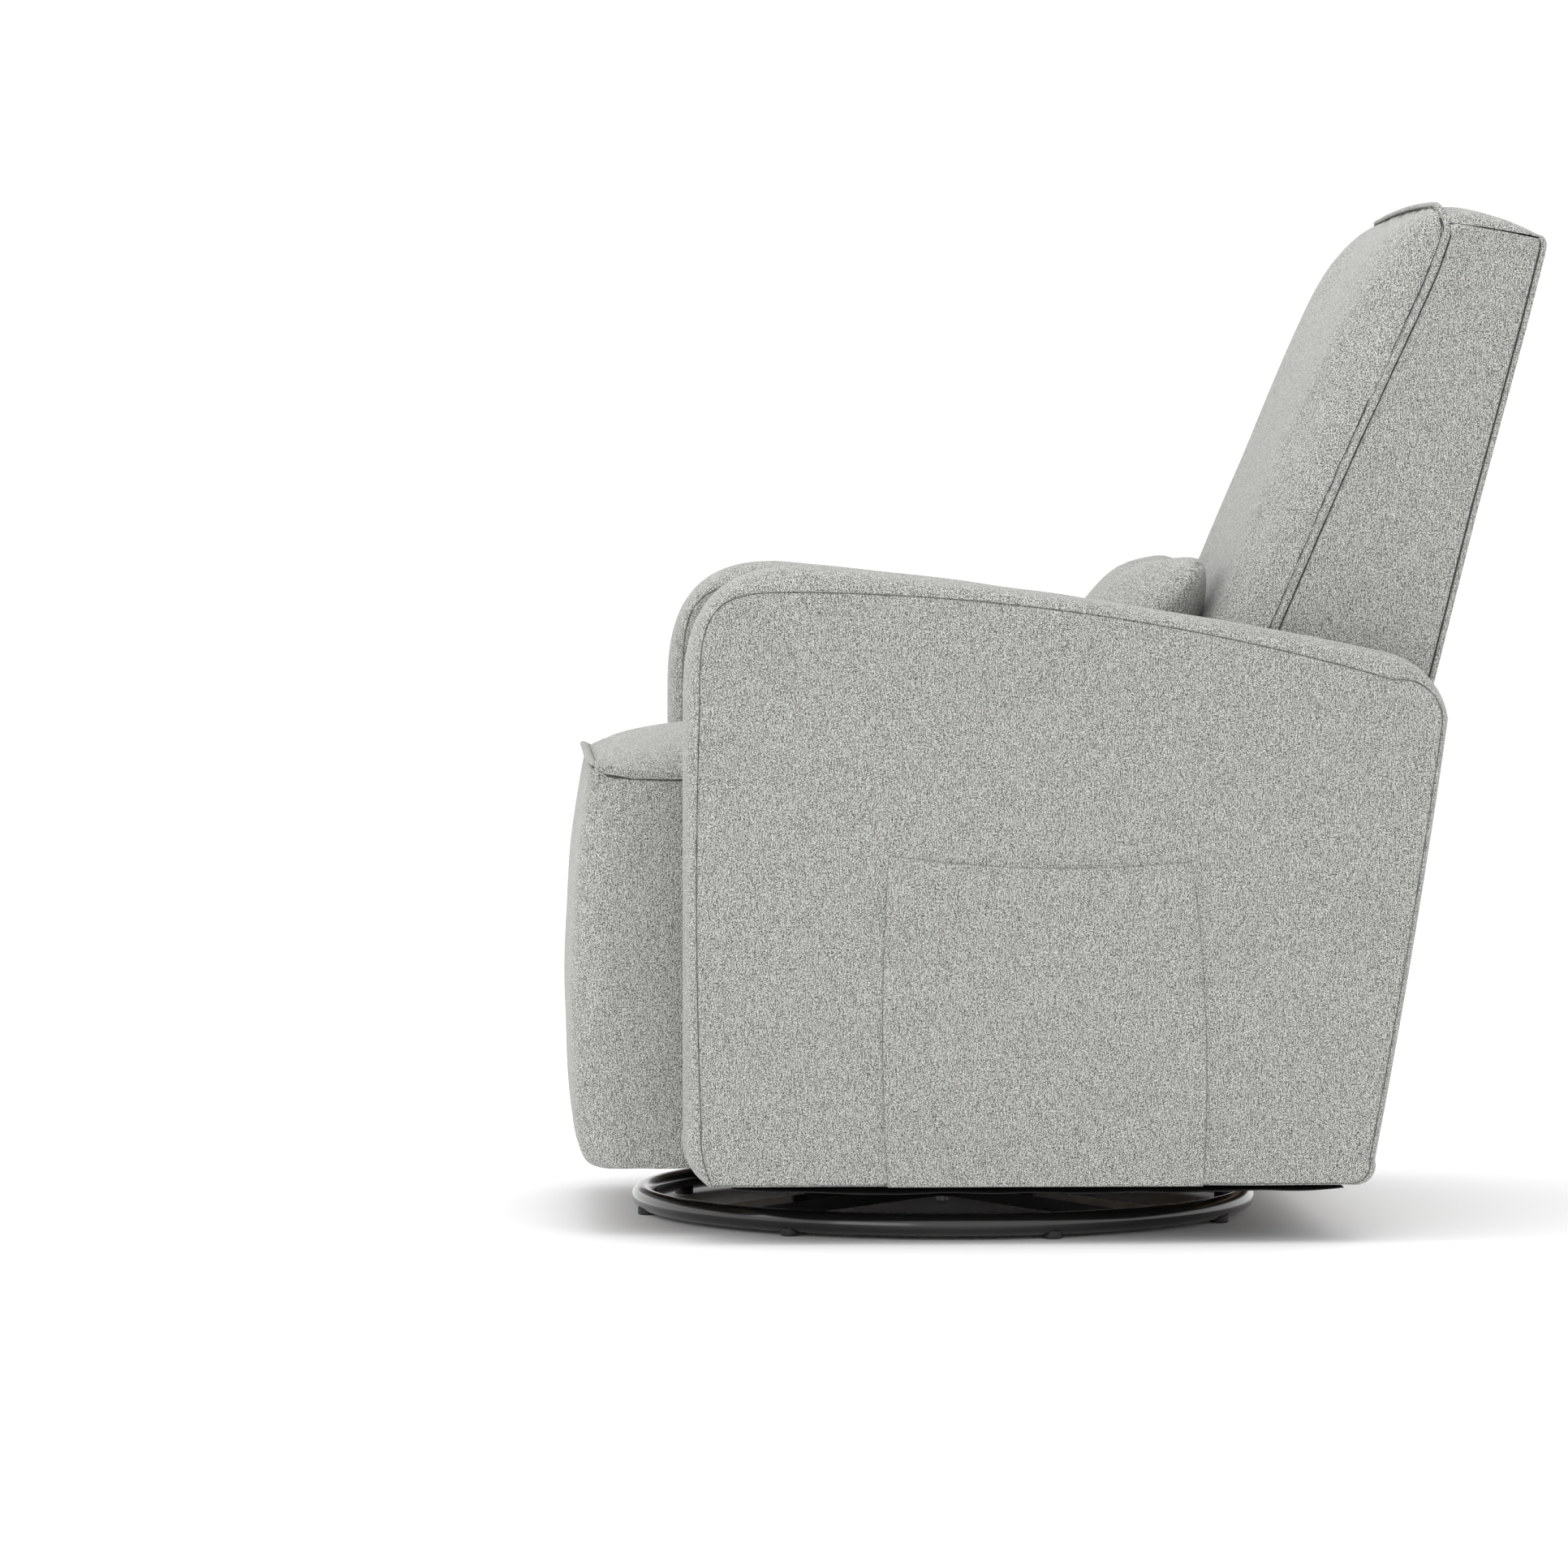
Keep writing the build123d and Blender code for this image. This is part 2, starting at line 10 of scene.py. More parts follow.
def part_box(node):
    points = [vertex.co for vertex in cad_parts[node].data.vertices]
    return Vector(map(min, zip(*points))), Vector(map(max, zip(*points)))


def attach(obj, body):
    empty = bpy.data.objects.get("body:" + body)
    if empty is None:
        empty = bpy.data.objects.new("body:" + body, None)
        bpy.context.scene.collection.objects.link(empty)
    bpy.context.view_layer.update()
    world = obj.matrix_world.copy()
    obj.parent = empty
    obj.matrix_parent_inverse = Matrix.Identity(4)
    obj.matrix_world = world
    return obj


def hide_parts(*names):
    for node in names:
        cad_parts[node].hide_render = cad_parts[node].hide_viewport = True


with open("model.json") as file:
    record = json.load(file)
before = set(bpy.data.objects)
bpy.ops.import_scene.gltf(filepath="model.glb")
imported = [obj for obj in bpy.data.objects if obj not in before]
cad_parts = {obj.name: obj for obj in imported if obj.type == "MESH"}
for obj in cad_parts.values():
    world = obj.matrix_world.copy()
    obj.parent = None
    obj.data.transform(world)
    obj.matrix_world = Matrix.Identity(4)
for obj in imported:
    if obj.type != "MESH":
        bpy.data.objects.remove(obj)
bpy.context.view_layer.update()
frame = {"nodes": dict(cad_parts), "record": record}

# A swivel glider chair in grey woven fabric. Metres; the sitter faces -Y with the left arm at +X.

# ---- sizes read from the frame ---------------------------------------------------------------
arm_low, arm_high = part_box("arm_pad_left")
ARM_IN, ARM_OUT = arm_low[0], arm_high[0]
ARM_FRONT, ARM_BOTTOM, ARM_TOP = arm_low[1], arm_low[2], arm_high[2]
SEAT_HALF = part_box("seat_cushion")[1][0]
SEAT_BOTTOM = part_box("seat_front_panel")[0][2]
BACK_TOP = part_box("back_cushion")[1][2]
BACK_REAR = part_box("back_outer_panel")[1][1]
OUTSIDE_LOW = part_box("back_outer_panel")[0][2]
pocket_low, pocket_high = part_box("arm_pocket_left")
pillow_low, pillow_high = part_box("lumbar_pillow")
dust_low, dust_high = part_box("dust_cover_left")

SEAM_DEPTH = 0.0034  # how far a panel's edge turns in at a seam
SEAM_ROLL = 0.0020  # radius of that turn
SEAM_GAP = 0.0009  # each side's distance from the middle of a seam
BODY = "seat_unit"
POINT_STEP = 0.006  # distance between the points of an outline
PANEL_SPACING = 0.011  # distance between the points inside a panel


# ---- curves and fields -----------------------------------------------------------------------
def arc(a, middle, b):
    """Points of the circle arc from a through middle to b, without b."""
    (ax, ay), (mx, my), (bx, by) = a, middle, b
    d = 2 * (ax * (my - by) + mx * (by - ay) + bx * (ay - my))
    sa, sm, sb = ax * ax + ay * ay, mx * mx + my * my, bx * bx + by * by
    cx = (sa * (my - by) + sm * (by - ay) + sb * (ay - my)) / d
    cy = (sa * (bx - mx) + sm * (ax - bx) + sb * (mx - ax)) / d
    r = math.hypot(ax - cx, ay - cy)
    start = math.atan2(ay - cy, ax - cx)
    end = math.atan2(by - cy, bx - cx)
    way = math.atan2(my - cy, mx - cx)
    turn = (end - start) % (2 * math.pi)
    if (way - start) % (2 * math.pi) > turn:
        turn -= 2 * math.pi
    n = max(4, round(abs(turn) * r / POINT_STEP))
    angles = [start + turn * i / n for i in range(n)]
    return [(cx + r * math.cos(angle), cy + r * math.sin(angle)) for angle in angles]


def line(a, b):
    n = max(1, round(math.dist(a, b) / POINT_STEP))
    return [tuple(p + (q - p) * i / n for p, q in zip(a, b)) for i in range(n)]


def spline(points, count):
    """count points, evenly spaced, of a smooth curve through these."""
    pts = [Vector(p) for p in points]
    ends = [2 * pts[0] - pts[1], *pts, 2 * pts[-1] - pts[-2]]
    dense = []
    for p0, p1, p2, p3 in zip(ends, ends[1:], ends[2:], ends[3:]):
        for i in range(24):
            t = i / 24
            a, b = 2 * p1, (p2 - p0) * t
            c = (2 * p0 - 5 * p1 + 4 * p2 - p3) * t * t
            d = (3 * p1 - p0 - 3 * p2 + p3) * t ** 3
            dense.append((a + b + c + d) / 2)
    dense.append(pts[-1])
    run = np.cumsum([0] + [(q - p).length for p, q in zip(dense, dense[1:])])
    want = np.linspace(0, run[-1], count)
    return [Vector([np.interp(w, run, [p[k] for p in dense]) for k in range(len(pts[0]))]) for w in want]


def along(table, x):
    """Straight-line reading of a short (x, value) list."""
    return float(np.interp(x, [p[0] for p in table], [p[1] for p in table]))


def smooth_table(points, count=60):
    """A short (x, value) list made smooth."""
    return sorted((p[0], p[1]) for p in spline(points, count))


def dome(s, flat, sharp):
    """1 in the middle, 0 at s = -1 and 1; flat keeps the middle level, sharp rounds the shoulders."""
    return max(0.0, 1 - abs(s) ** flat) ** (1 / sharp)


def ripple(p, size, depth, seed):
    """Gentle unevenness of cloth, the same at every run."""
    return depth * noise.noise(Vector(p) / size + Vector((seed, 1.7 * seed, -seed)))


# ---- meshes ----------------------------------------------------------------------------------
def new_object(name, verts, faces):
    mesh = bpy.data.meshes.new(name)
    mesh.from_pydata([tuple(v) for v in verts], [], faces)
    mesh.validate()
    mesh.update()
    for face in mesh.polygons:
        face.use_smooth = True
    obj = bpy.data.objects.new(name, mesh)
    bpy.context.scene.collection.objects.link(obj)
    return obj


def face_outward(obj, weld=True):
    """Turns every face outward; weld first joins the points that coincide."""
    bm = bmesh.new()
    bm.from_mesh(obj.data)
    if weld:
        bmesh.ops.remove_doubles(bm, verts=bm.verts, dist=1e-5)
    bmesh.ops.recalc_face_normals(bm, faces=bm.faces)
    bm.to_mesh(obj.data)
    bm.free()
    return obj


def grid_faces(rows, cols, closed=False, start=0):
    faces = []
    for r in range(rows - 1):
        for c in range(cols if closed else cols - 1):
            d = (c + 1) % cols
            row, next_row = start + r * cols, start + (r + 1) * cols
            faces.append((row + c, row + d, next_row + d, next_row + c))
    return faces


def grid_edge(rows, cols):
    """The points round the outside of a grid, in order."""
    first = list(range(cols))
    right = [r * cols + cols - 1 for r in range(1, rows)]
    last = [(rows - 1) * cols + c for c in range(cols - 2, -1, -1)]
    left = [r * cols for r in range(rows - 2, 0, -1)]
    return first + right + last + left


def grid_object(name, rows, closed=False):
    """A surface through rows of points."""
    verts = [p for row in rows for p in row]
    return new_object(name, verts, grid_faces(len(rows), len(rows[0]), closed))


def join(name, parts):
    chosen = {"active_object": parts[0], "selected_editable_objects": parts, "selected_objects": parts}
    with bpy.context.temp_override(**chosen):
        bpy.ops.object.join()
    parts[0].name = name
    return parts[0]


def mirrored(obj, name):
    """A copy on the other side of the chair."""
    twin = obj.copy()
    twin.data = obj.data.copy()
    twin.name = name
    for v in twin.data.vertices:
        v.co.x = -v.co.x
    twin.data.flip_normals()
    bpy.context.scene.collection.objects.link(twin)
    return twin


def loop_distance(points, loop):
    """Distance of each 2-D point to a closed polyline."""
    p = np.array(points)[:, None, :]
    a = np.array(loop)[None, :, :]
    ab = np.roll(a, -1, axis=1) - a
    t = np.clip(((p - a) * ab).sum(2) / (ab * ab).sum(2), 0, 1)
    return np.sqrt((((a + ab * t[:, :, None]) - p) ** 2).sum(2)).min(1)


def inside(points, loop):
    """Whether each 2-D point is inside a closed polyline."""
    x, y = np.array(points).T[:, :, None]
    ax, ay = np.array(loop).T[:, None, :]
    bx, by = np.roll(ax, -1, axis=1), np.roll(ay, -1, axis=1)
    flat = np.where(by == ay, 1e-12, by - ay)
    cross = ((ay > y) != (by > y)) & (x < (bx - ax) * (y - ay) / flat + ax)
    return cross.sum(1) % 2 == 1


def offset(loop, distance):
    """The closed loop moved inward by distance."""
    area = sum(a[0] * b[1] - a[1] * b[0] for a, b in zip(loop, loop[1:] + loop[:1]))
    side = math.copysign(distance, area)
    moved = []
    for i, (u, v) in enumerate(loop):
        (ax, ay), (bx, by) = loop[i - 1], loop[(i + 1) % len(loop)]
        length = math.hypot(bx - ax, by - ay)
        moved.append((u - side * (by - ay) / length, v + side * (bx - ax) / length))
    return moved


def turn_in(d):
    """Depth of a panel's edge at distance d from its seam."""
    turn = min(1.0, max(0.0, 1 - d / SEAM_ROLL))
    return SEAM_DEPTH * (1 - math.sqrt(1 - turn * turn))


def panel_rise(u, v, d, crown, uneven, seed, crown_width=0.09):
    """How far a panel stands proud at (u, v), which is d from its seam."""
    return crown * (1 - math.exp(-d / crown_width)) + ripple((u, v, 0), 0.11, uneven * min(1, d / 0.03), seed)


def panel(name, loop, place, crown=0.0, uneven=0.0, seed=0.0, crown_width=0.09):
    """A sewn panel inside a 2-D loop: its edge turns in, its middle stands proud. place(u, v, h) gives
    the 3-D point at height h."""
    insets = [0.0003, 0.0008, 0.0014, 0.0022, 0.0045, 0.008]
    count = len(loop)
    points = list(loop)
    for inset in insets:
        ring = offset(loop, inset)
        keep = loop_distance(ring, loop) > inset * 0.8
        points += [p for p, k in zip(ring, keep) if k]
    us, vs = [p[0] for p in loop], [p[1] for p in loop]
    columns = np.arange(min(us), max(us), PANEL_SPACING)
    levels = np.arange(min(vs), max(vs), PANEL_SPACING)
    grid = [(u, v) for u in columns for v in levels]
    keep = inside(grid, loop) & (loop_distance(grid, loop) > insets[-1] + PANEL_SPACING * 0.4)
    points += [p for p, k in zip(grid, keep) if k]
    outline = [list(range(count))]
    verts, _, faces, *_ = geometry.delaunay_2d_cdt([Vector(p) for p in points], [], outline, 1, 1e-6)
    flat = [(v[0], v[1]) for v in verts]
    placed = []
    for (u, v), d in zip(flat, loop_distance(flat, loop)):
        rise = panel_rise(u, v, d, crown, uneven, seed, crown_width)
        placed.append(place(u, v, rise - turn_in(d)))
    return new_object(name, placed, faces)


def tube(name, path, across, half_wide, half_thick, sides=12):
    """A flattened tube along path. across(i) points along its wide side."""
    rows = []
    count = len(path)
    for i, p in enumerate(path):
        along_path = (path[min(i + 1, count - 1)] - path[max(i - 1, 0)]).normalized()
        wide = across(i)
        wide = (wide - along_path * wide.dot(along_path)).normalized()
        thin = along_path.cross(wide)
        pucker = 1 + ripple(p, 0.02, 0.16, 3.0)
        ring = []
        for k in range(sides):
            a = 2 * math.pi * k / sides
            ring.append(p + wide * half_wide * pucker * math.cos(a) + thin * half_thick * math.sin(a))
        rows.append(ring)
    verts = [p for row in rows for p in row]
    faces = grid_faces(count, sides, closed=True)
    faces += [tuple(range(sides)), tuple(range((count - 1) * sides, count * sides))]
    return face_outward(new_object(name, verts, faces))


def seam_shade(name, path, across, half_wide=0.0024):
    """A dark strip at the bottom of a seam: painted shade, standing in for the shadow down in the seam."""
    strip = tube(name, path, across, half_wide, 0.0004, sides=6)
    return upholster(strip, material=PAINTED_SHADE)


def subdivide(obj):
    mod = obj.modifiers.new("Subdivision", "SUBSURF")
    mod.levels = mod.render_levels = 1
    return obj


def swell(obj, pinned, pressure, cap, slack, frames=20):
    """Inflates a closed cloth form as cloth does, holding its pinned points, and keeps every point
    within cap of where it started."""
    scene = bpy.context.scene
    start = [v.co.copy() for v in obj.data.vertices]
    group = obj.vertex_groups.new(name="sewn")
    for i in pinned:
        group.add([i], 1.0, "REPLACE")
    cloth = obj.modifiers.new("Cloth", "CLOTH")
    cloth.settings.quality = 6
    cloth.settings.mass = 0.3
    cloth.settings.tension_stiffness = cloth.settings.compression_stiffness = 40
    cloth.settings.bending_stiffness = 1.2
    cloth.settings.use_pressure = True
    cloth.settings.uniform_pressure_force = pressure
    cloth.settings.shrink_min = -slack
    cloth.settings.effector_weights.gravity = 0
    if pinned:
        cloth.settings.vertex_group_mass = "sewn"
    cloth.collision_settings.use_collision = False
    cloth.point_cache.frame_start, cloth.point_cache.frame_end = 1, frames
    for f in range(1, frames + 1):
        scene.frame_set(f)
    shaped = obj.evaluated_get(bpy.context.evaluated_depsgraph_get())
    ends = [v.co.copy() for v in shaped.data.vertices]
    obj.modifiers.remove(cloth)
    obj.vertex_groups.clear()
    for v, a, b in zip(obj.data.vertices, start, ends):
        move = b - a
        if move.length > 1e-9:
            move *= cap * math.tanh(move.length / cap) / move.length
        v.co = a + move
    scene.frame_set(1)
    return obj


# ---- materials -------------------------------------------------------------------------------
def new_material(name):
    mat = bpy.data.materials.new(name)
    mat.use_nodes = True
    tree = mat.node_tree
    return mat, tree, tree.nodes["Principled BSDF"]


def add_node(tree, kind, **values):
    node = tree.nodes.new(kind)
    for key, value in values.items():
        node.inputs[key].default_value = value
    return node


def math_node(tree, operation, a, b):
    node = tree.nodes.new("ShaderNodeMath")
    node.operation = operation
    for socket, value in zip(node.inputs, (a, b)):
        if isinstance(value, (int, float)):
            socket.default_value = value
        else:
            tree.links.new(value, socket)
    return node.outputs[0]


def noise_at(tree, vector, scale_u, scale_v, detail=2.0):
    """Noise over (u, v), stretched by its own scale each way, in features per metre. Long slubs start
    at a different height in each thread, so that their ends never line up in rows."""
    split = tree.nodes.new("ShaderNodeSeparateXYZ")
    tree.links.new(vector, split.inputs[0])
    across = math_node(tree, "MULTIPLY", split.outputs[0], scale_u)
    lengthwise = math_node(tree, "MULTIPLY", split.outputs[1], scale_v)
    if scale_u > 4 * scale_v:
        shift = math_node(tree, "MULTIPLY", math_node(tree, "FLOOR", across, 0), 7.618)
        lengthwise = math_node(tree, "ADD", lengthwise, shift)
    pair = add_node(tree, "ShaderNodeCombineXYZ")
    tree.links.new(across, pair.inputs[0])
    tree.links.new(lengthwise, pair.inputs[1])
    tex = add_node(tree, "ShaderNodeTexNoise", Scale=1.0, Detail=detail, Roughness=0.6)
    tree.links.new(pair.outputs[0], tex.inputs["Vector"])
    return tex.outputs["Fac"]


def weave_group():
    """Heather weave over (u, v), v along the slubs: its tone, and the height of its threads."""
    group = bpy.data.node_groups.new("heather_weave", "ShaderNodeTree")
    group.interface.new_socket("Vector", in_out="INPUT", socket_type="NodeSocketVector")
    group.interface.new_socket("Tone", in_out="OUTPUT", socket_type="NodeSocketFloat")
    group.interface.new_socket("Height", in_out="OUTPUT", socket_type="NodeSocketFloat")
    source = group.nodes.new("NodeGroupInput").outputs[0]
    sink = group.nodes.new("NodeGroupOutput")
    slub = noise_at(group, source, 950, 120, detail=0.0)
    warp = noise_at(group, source, 1350, 640, detail=0.0)
    heather = noise_at(group, source, 880, 440, detail=0.0)
    weft = noise_at(group, source, 480, 1100, detail=0.0)
    speck = noise_at(group, source, 1500, 1300, detail=0.0)
    patch = noise_at(group, source, 60, 14)
    tone = math_node(group, "MULTIPLY", slub, 0.14)
    for part, share in ((warp, 0.15), (heather, 0.18), (weft, 0.07), (speck, 0.45), (patch, 0.01)):
        tone = math_node(group, "ADD", tone, math_node(group, "MULTIPLY", part, share))
    half_warp = math_node(group, "MULTIPLY", warp, 0.5)
    half_speck = math_node(group, "MULTIPLY", speck, 0.5)
    height = math_node(group, "ADD", half_warp, half_speck)
    group.links.new(tone, sink.inputs[0])
    group.links.new(height, sink.inputs[1])
    return group


def fabric_material():
    mat, tree, shader = new_material("heather_fabric")
    group = weave_group()
    coords = tree.nodes.new("ShaderNodeTexCoord")
    place = add_node(tree, "ShaderNodeSeparateXYZ")
    facing = add_node(tree, "ShaderNodeSeparateXYZ")
    tree.links.new(coords.outputs["Object"], place.inputs[0])
    tree.links.new(coords.outputs["Normal"], facing.inputs[0])
    x, y, z = place.outputs
    weights = []
    for axis in range(3):
        level = math_node(tree, "ABSOLUTE", facing.outputs[axis], 0)
        weights.append(math_node(tree, "POWER", level, 8))
    total = math_node(tree, "ADD", math_node(tree, "ADD", weights[0], weights[1]), weights[2])
    sums = {"Tone": 0.0, "Height": 0.0}
    for weight, (u, v) in zip(weights, ((y, z), (x, z), (x, y))):
        pair = add_node(tree, "ShaderNodeCombineXYZ")
        tree.links.new(u, pair.inputs[0])
        tree.links.new(v, pair.inputs[1])
        weave = tree.nodes.new("ShaderNodeGroup")
        weave.node_tree = group
        tree.links.new(pair.outputs[0], weave.inputs[0])
        share = math_node(tree, "DIVIDE", weight, total)
        for key in sums:
            part = math_node(tree, "MULTIPLY", weave.outputs[key], share)
            sums[key] = math_node(tree, "ADD", sums[key], part)
    ramp = add_node(tree, "ShaderNodeValToRGB")
    stops = ramp.color_ramp.elements
    stops[0].position, stops[0].color = 0.452, (0.060, 0.062, 0.058, 1)
    stops[1].position, stops[1].color = 0.548, (0.640, 0.645, 0.612, 1)
    middle = stops.new(0.50)
    middle.color = (0.274, 0.278, 0.263, 1)
    tree.links.new(sums["Tone"], ramp.inputs[0])
    tree.links.new(ramp.outputs[0], shader.inputs["Base Color"])
    bump = add_node(tree, "ShaderNodeBump", Strength=0.55, Distance=0.0007)
    tree.links.new(sums["Height"], bump.inputs["Height"])
    tree.links.new(bump.outputs[0], shader.inputs["Normal"])
    shader.inputs["Roughness"].default_value = 0.92
    shader.inputs["Sheen Weight"].default_value = 0.18
    shader.inputs["Sheen Roughness"].default_value = 0.5
    shader.inputs["Specular IOR Level"].default_value = 0.25
    return mat


def textured_material(name, kind, value, colours, stops, bump, depth, **texture):
    """A material whose colour and surface both follow one texture; also gives the texture's value."""
    mat, tree, shader = new_material(name)
    coords = tree.nodes.new("ShaderNodeTexCoord")
    tex = add_node(tree, kind, **texture)
    tree.links.new(coords.outputs["Object"], tex.inputs["Vector"])
    ramp = add_node(tree, "ShaderNodeValToRGB")
    for stop, place, colour in zip(ramp.color_ramp.elements, stops, colours):
        stop.position, stop.color = place, (*colour, 1)
    tree.links.new(tex.outputs[value], ramp.inputs[0])
    tree.links.new(ramp.outputs[0], shader.inputs["Base Color"])
    relief = add_node(tree, "ShaderNodeBump", Strength=bump, Distance=depth)
    tree.links.new(tex.outputs[value], relief.inputs["Height"])
    tree.links.new(relief.outputs[0], shader.inputs["Normal"])
    return mat, tree, shader, tex.outputs[value]


def coated_material(name, dark, light, roughness, metallic, scale, bump=0.1, spread=0.12, coat=0.0):
    """Paint, metal or plastic with small variation of colour, gloss and surface."""
    mat, tree, shader, value = textured_material(
        name, "ShaderNodeTexNoise", "Fac", (dark, light), (0.35, 0.65), bump, 0.0004,
        Scale=scale, Detail=4.0, Roughness=0.6,
    )
    varied = math_node(tree, "MULTIPLY", value, spread)
    gloss = math_node(tree, "ADD", varied, roughness - spread / 2)
    tree.links.new(gloss, shader.inputs["Roughness"])
    shader.inputs["Metallic"].default_value = metallic
    shader.inputs["Coat Weight"].default_value = coat
    shader.inputs["Coat Roughness"].default_value = 0.12
    return mat


def wood_material():
    dark, light = (0.36, 0.24, 0.13), (0.62, 0.46, 0.29)
    mat, _, shader, _ = textured_material(
        "bare_plywood", "ShaderNodeTexWave", "Fac", (dark, light), (0, 1), 0.2, 0.0005,
        Scale=45.0, Distortion=6.0, Detail=3.0,
    )
    shader.inputs["Roughness"].default_value = 0.7
    return mat


def cloth_material(name, dark, light, threads):
    """A plain cloth, lightest at the middle of each thread."""
    mat, _, shader, _ = textured_material(
        name, "ShaderNodeTexVoronoi", "Distance", (light, dark), (0, 1), 0.4, 0.0004, Scale=threads
    )
    shader.inputs["Roughness"].default_value = 0.9
    return mat


FABRIC = fabric_material()
# painted shade: a dark cloth for the strips laid in the seams and along the pocket's edges, standing in for
# the shadow down in them
PAINTED_SHADE = cloth_material("painted_seam_shade", (0.040, 0.041, 0.040), (0.080, 0.081, 0.078), 900)
MATERIALS = {
    "fabric": FABRIC,
    "black_steel": coated_material(
        "black_powder_coat", (0.006, 0.006, 0.006), (0.011, 0.011, 0.010), 0.20, 0.0, 900,
        bump=0.08, spread=0.08, coat=0.6,
    ),
    "bearing_steel": coated_material("ground_steel", (0.42, 0.42, 0.43), (0.58, 0.58, 0.58), 0.3, 1.0, 350),
    "zinc_steel": coated_material("zinc_plate", (0.50, 0.50, 0.48), (0.66, 0.66, 0.62), 0.36, 1.0, 420),
    "nylon": coated_material("nylon", (0.70, 0.69, 0.64), (0.80, 0.79, 0.74), 0.5, 0.0, 300),
    "glide_plastic": coated_material(
        "glide_plastic", (0.010, 0.010, 0.010), (0.020, 0.020, 0.020), 0.5, 0.0, 700
    ),
    "rubber": coated_material("rubber", (0.010, 0.010, 0.010), (0.025, 0.025, 0.025), 0.8, 0.0, 800, 0.4),
    "plywood": wood_material(),
    "spring_wire": coated_material("oiled_wire", (0.16, 0.16, 0.17), (0.30, 0.30, 0.31), 0.4, 1.0, 500),
    "felt": cloth_material("pressed_felt", (0.12, 0.13, 0.14), (0.26, 0.27, 0.28), 500),
    "webbing": cloth_material("elastic_webbing", (0.03, 0.03, 0.03), (0.10, 0.10, 0.10), 700),
    "dust_cloth": cloth_material("dust_cloth", (0.010, 0.010, 0.010), (0.022, 0.022, 0.021), 600),
}


def upholster(obj, *nodes, body=BODY, slot="fabric", fill=None, material=None):
    """Gives a piece its cloth and its body, and hides the CAD nodes that it stands for."""
    obj.data.materials.clear()
    obj.data.materials.append(material or MATERIALS[slot])
    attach(obj, body)
    if nodes:
        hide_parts(*nodes)
    return obj


# ---- arms ------------------------------------------------------------------------------------
NOSE = (-0.256, 0.520)  # middle of the curve at the arm's upper front corner


def nose(front, top, fullness, count=34):
    """The arm's upper front corner, a rounded square between its front and its top."""
    points = []
    for a in np.linspace(0, math.pi / 2, count, endpoint=False):
        u = math.cos(a) ** (2 / fullness)
        v = math.sin(a) ** (2 / fullness)
        points.append((NOSE[0] - (NOSE[0] - front) * u, NOSE[1] + (top - NOSE[1]) * v))
    return points


CREST = [
    line((-0.250, ARM_BOTTOM), (-0.348, ARM_BOTTOM)),
    arc((-0.348, ARM_BOTTOM), (-0.3635, 0.071), (ARM_FRONT, 0.112)),
    line((ARM_FRONT, 0.112), (ARM_FRONT, NOSE[1])),
    nose(ARM_FRONT, ARM_TOP, 2.7),
    arc((NOSE[0], ARM_TOP), (0.016, 0.629), (0.307, 0.578)),
    arc((0.307, 0.578), (0.354, 0.554), (0.375, 0.512)),
    arc((0.375, 0.512), (0.3428, 0.296), (0.305, 0.080)),
    arc((0.305, 0.080), (0.301, 0.062), (0.284, ARM_BOTTOM)),
    line((0.284, ARM_BOTTOM), (-0.250, ARM_BOTTOM)),
]
SEAM_LOW = 0.0575
SEAM = [
    line((-0.250, SEAM_LOW), (-0.345, SEAM_LOW)),
    arc((-0.345, SEAM_LOW), (-0.3530, 0.078), (-0.356, 0.114)),
    arc((-0.356, 0.114), (-0.3605, 0.330), (-0.3575, NOSE[1])),
    nose(-0.3575, 0.6355, 4.0),
    arc((NOSE[0], 0.6355), (0.030, 0.613), (0.320, 0.5500)),
    arc((0.320, 0.5500), (0.355, 0.5390), (0.3672, 0.508)),
    arc((0.3672, 0.508), (0.3355, 0.296), (0.2975, 0.082)),
    arc((0.2975, 0.082), (0.294, 0.065), (0.280, SEAM_LOW)),
    line((0.280, SEAM_LOW), (-0.250, SEAM_LOW)),
]


def resample(points, end, count):
    """count points evenly along a polyline, without its end."""
    pts = np.array(points + [end])
    run = np.concatenate([[0], np.cumsum(np.hypot(*np.diff(pts, axis=0).T))])
    want = np.linspace(0, run[-1], count, endpoint=False)
    return [(float(np.interp(w, run, pts[:, 0])), float(np.interp(w, run, pts[:, 1]))) for w in want]


def arm_loops():
    """The arm's outer crest, and the seam of its side panels, point for point."""
    crest, seam = [], []
    for high_piece, low_piece, after in zip(CREST, SEAM, SEAM[1:] + SEAM[:1]):
        crest += high_piece
        seam += resample(low_piece, after[0], len(high_piece))
    return crest, seam


BAND_LIFTS = [
    0, 0.01, 0.03, 0.06, 0.1, 0.16, 0.25, 0.36, 0.48, 0.6, 0.71, 0.8, 0.87, 0.93, 0.965, 0.985, 0.996, 1,
]  # shares of the way from the seam to the crest
ARM_OUTER, ARM_INNER = ARM_OUT + 0.0012, ARM_IN + 0.0008
ARM_FULLNESS = {"crown": 0.0026, "uneven": 0.0013, "seed": 2.0}  # of the arm's outer panel


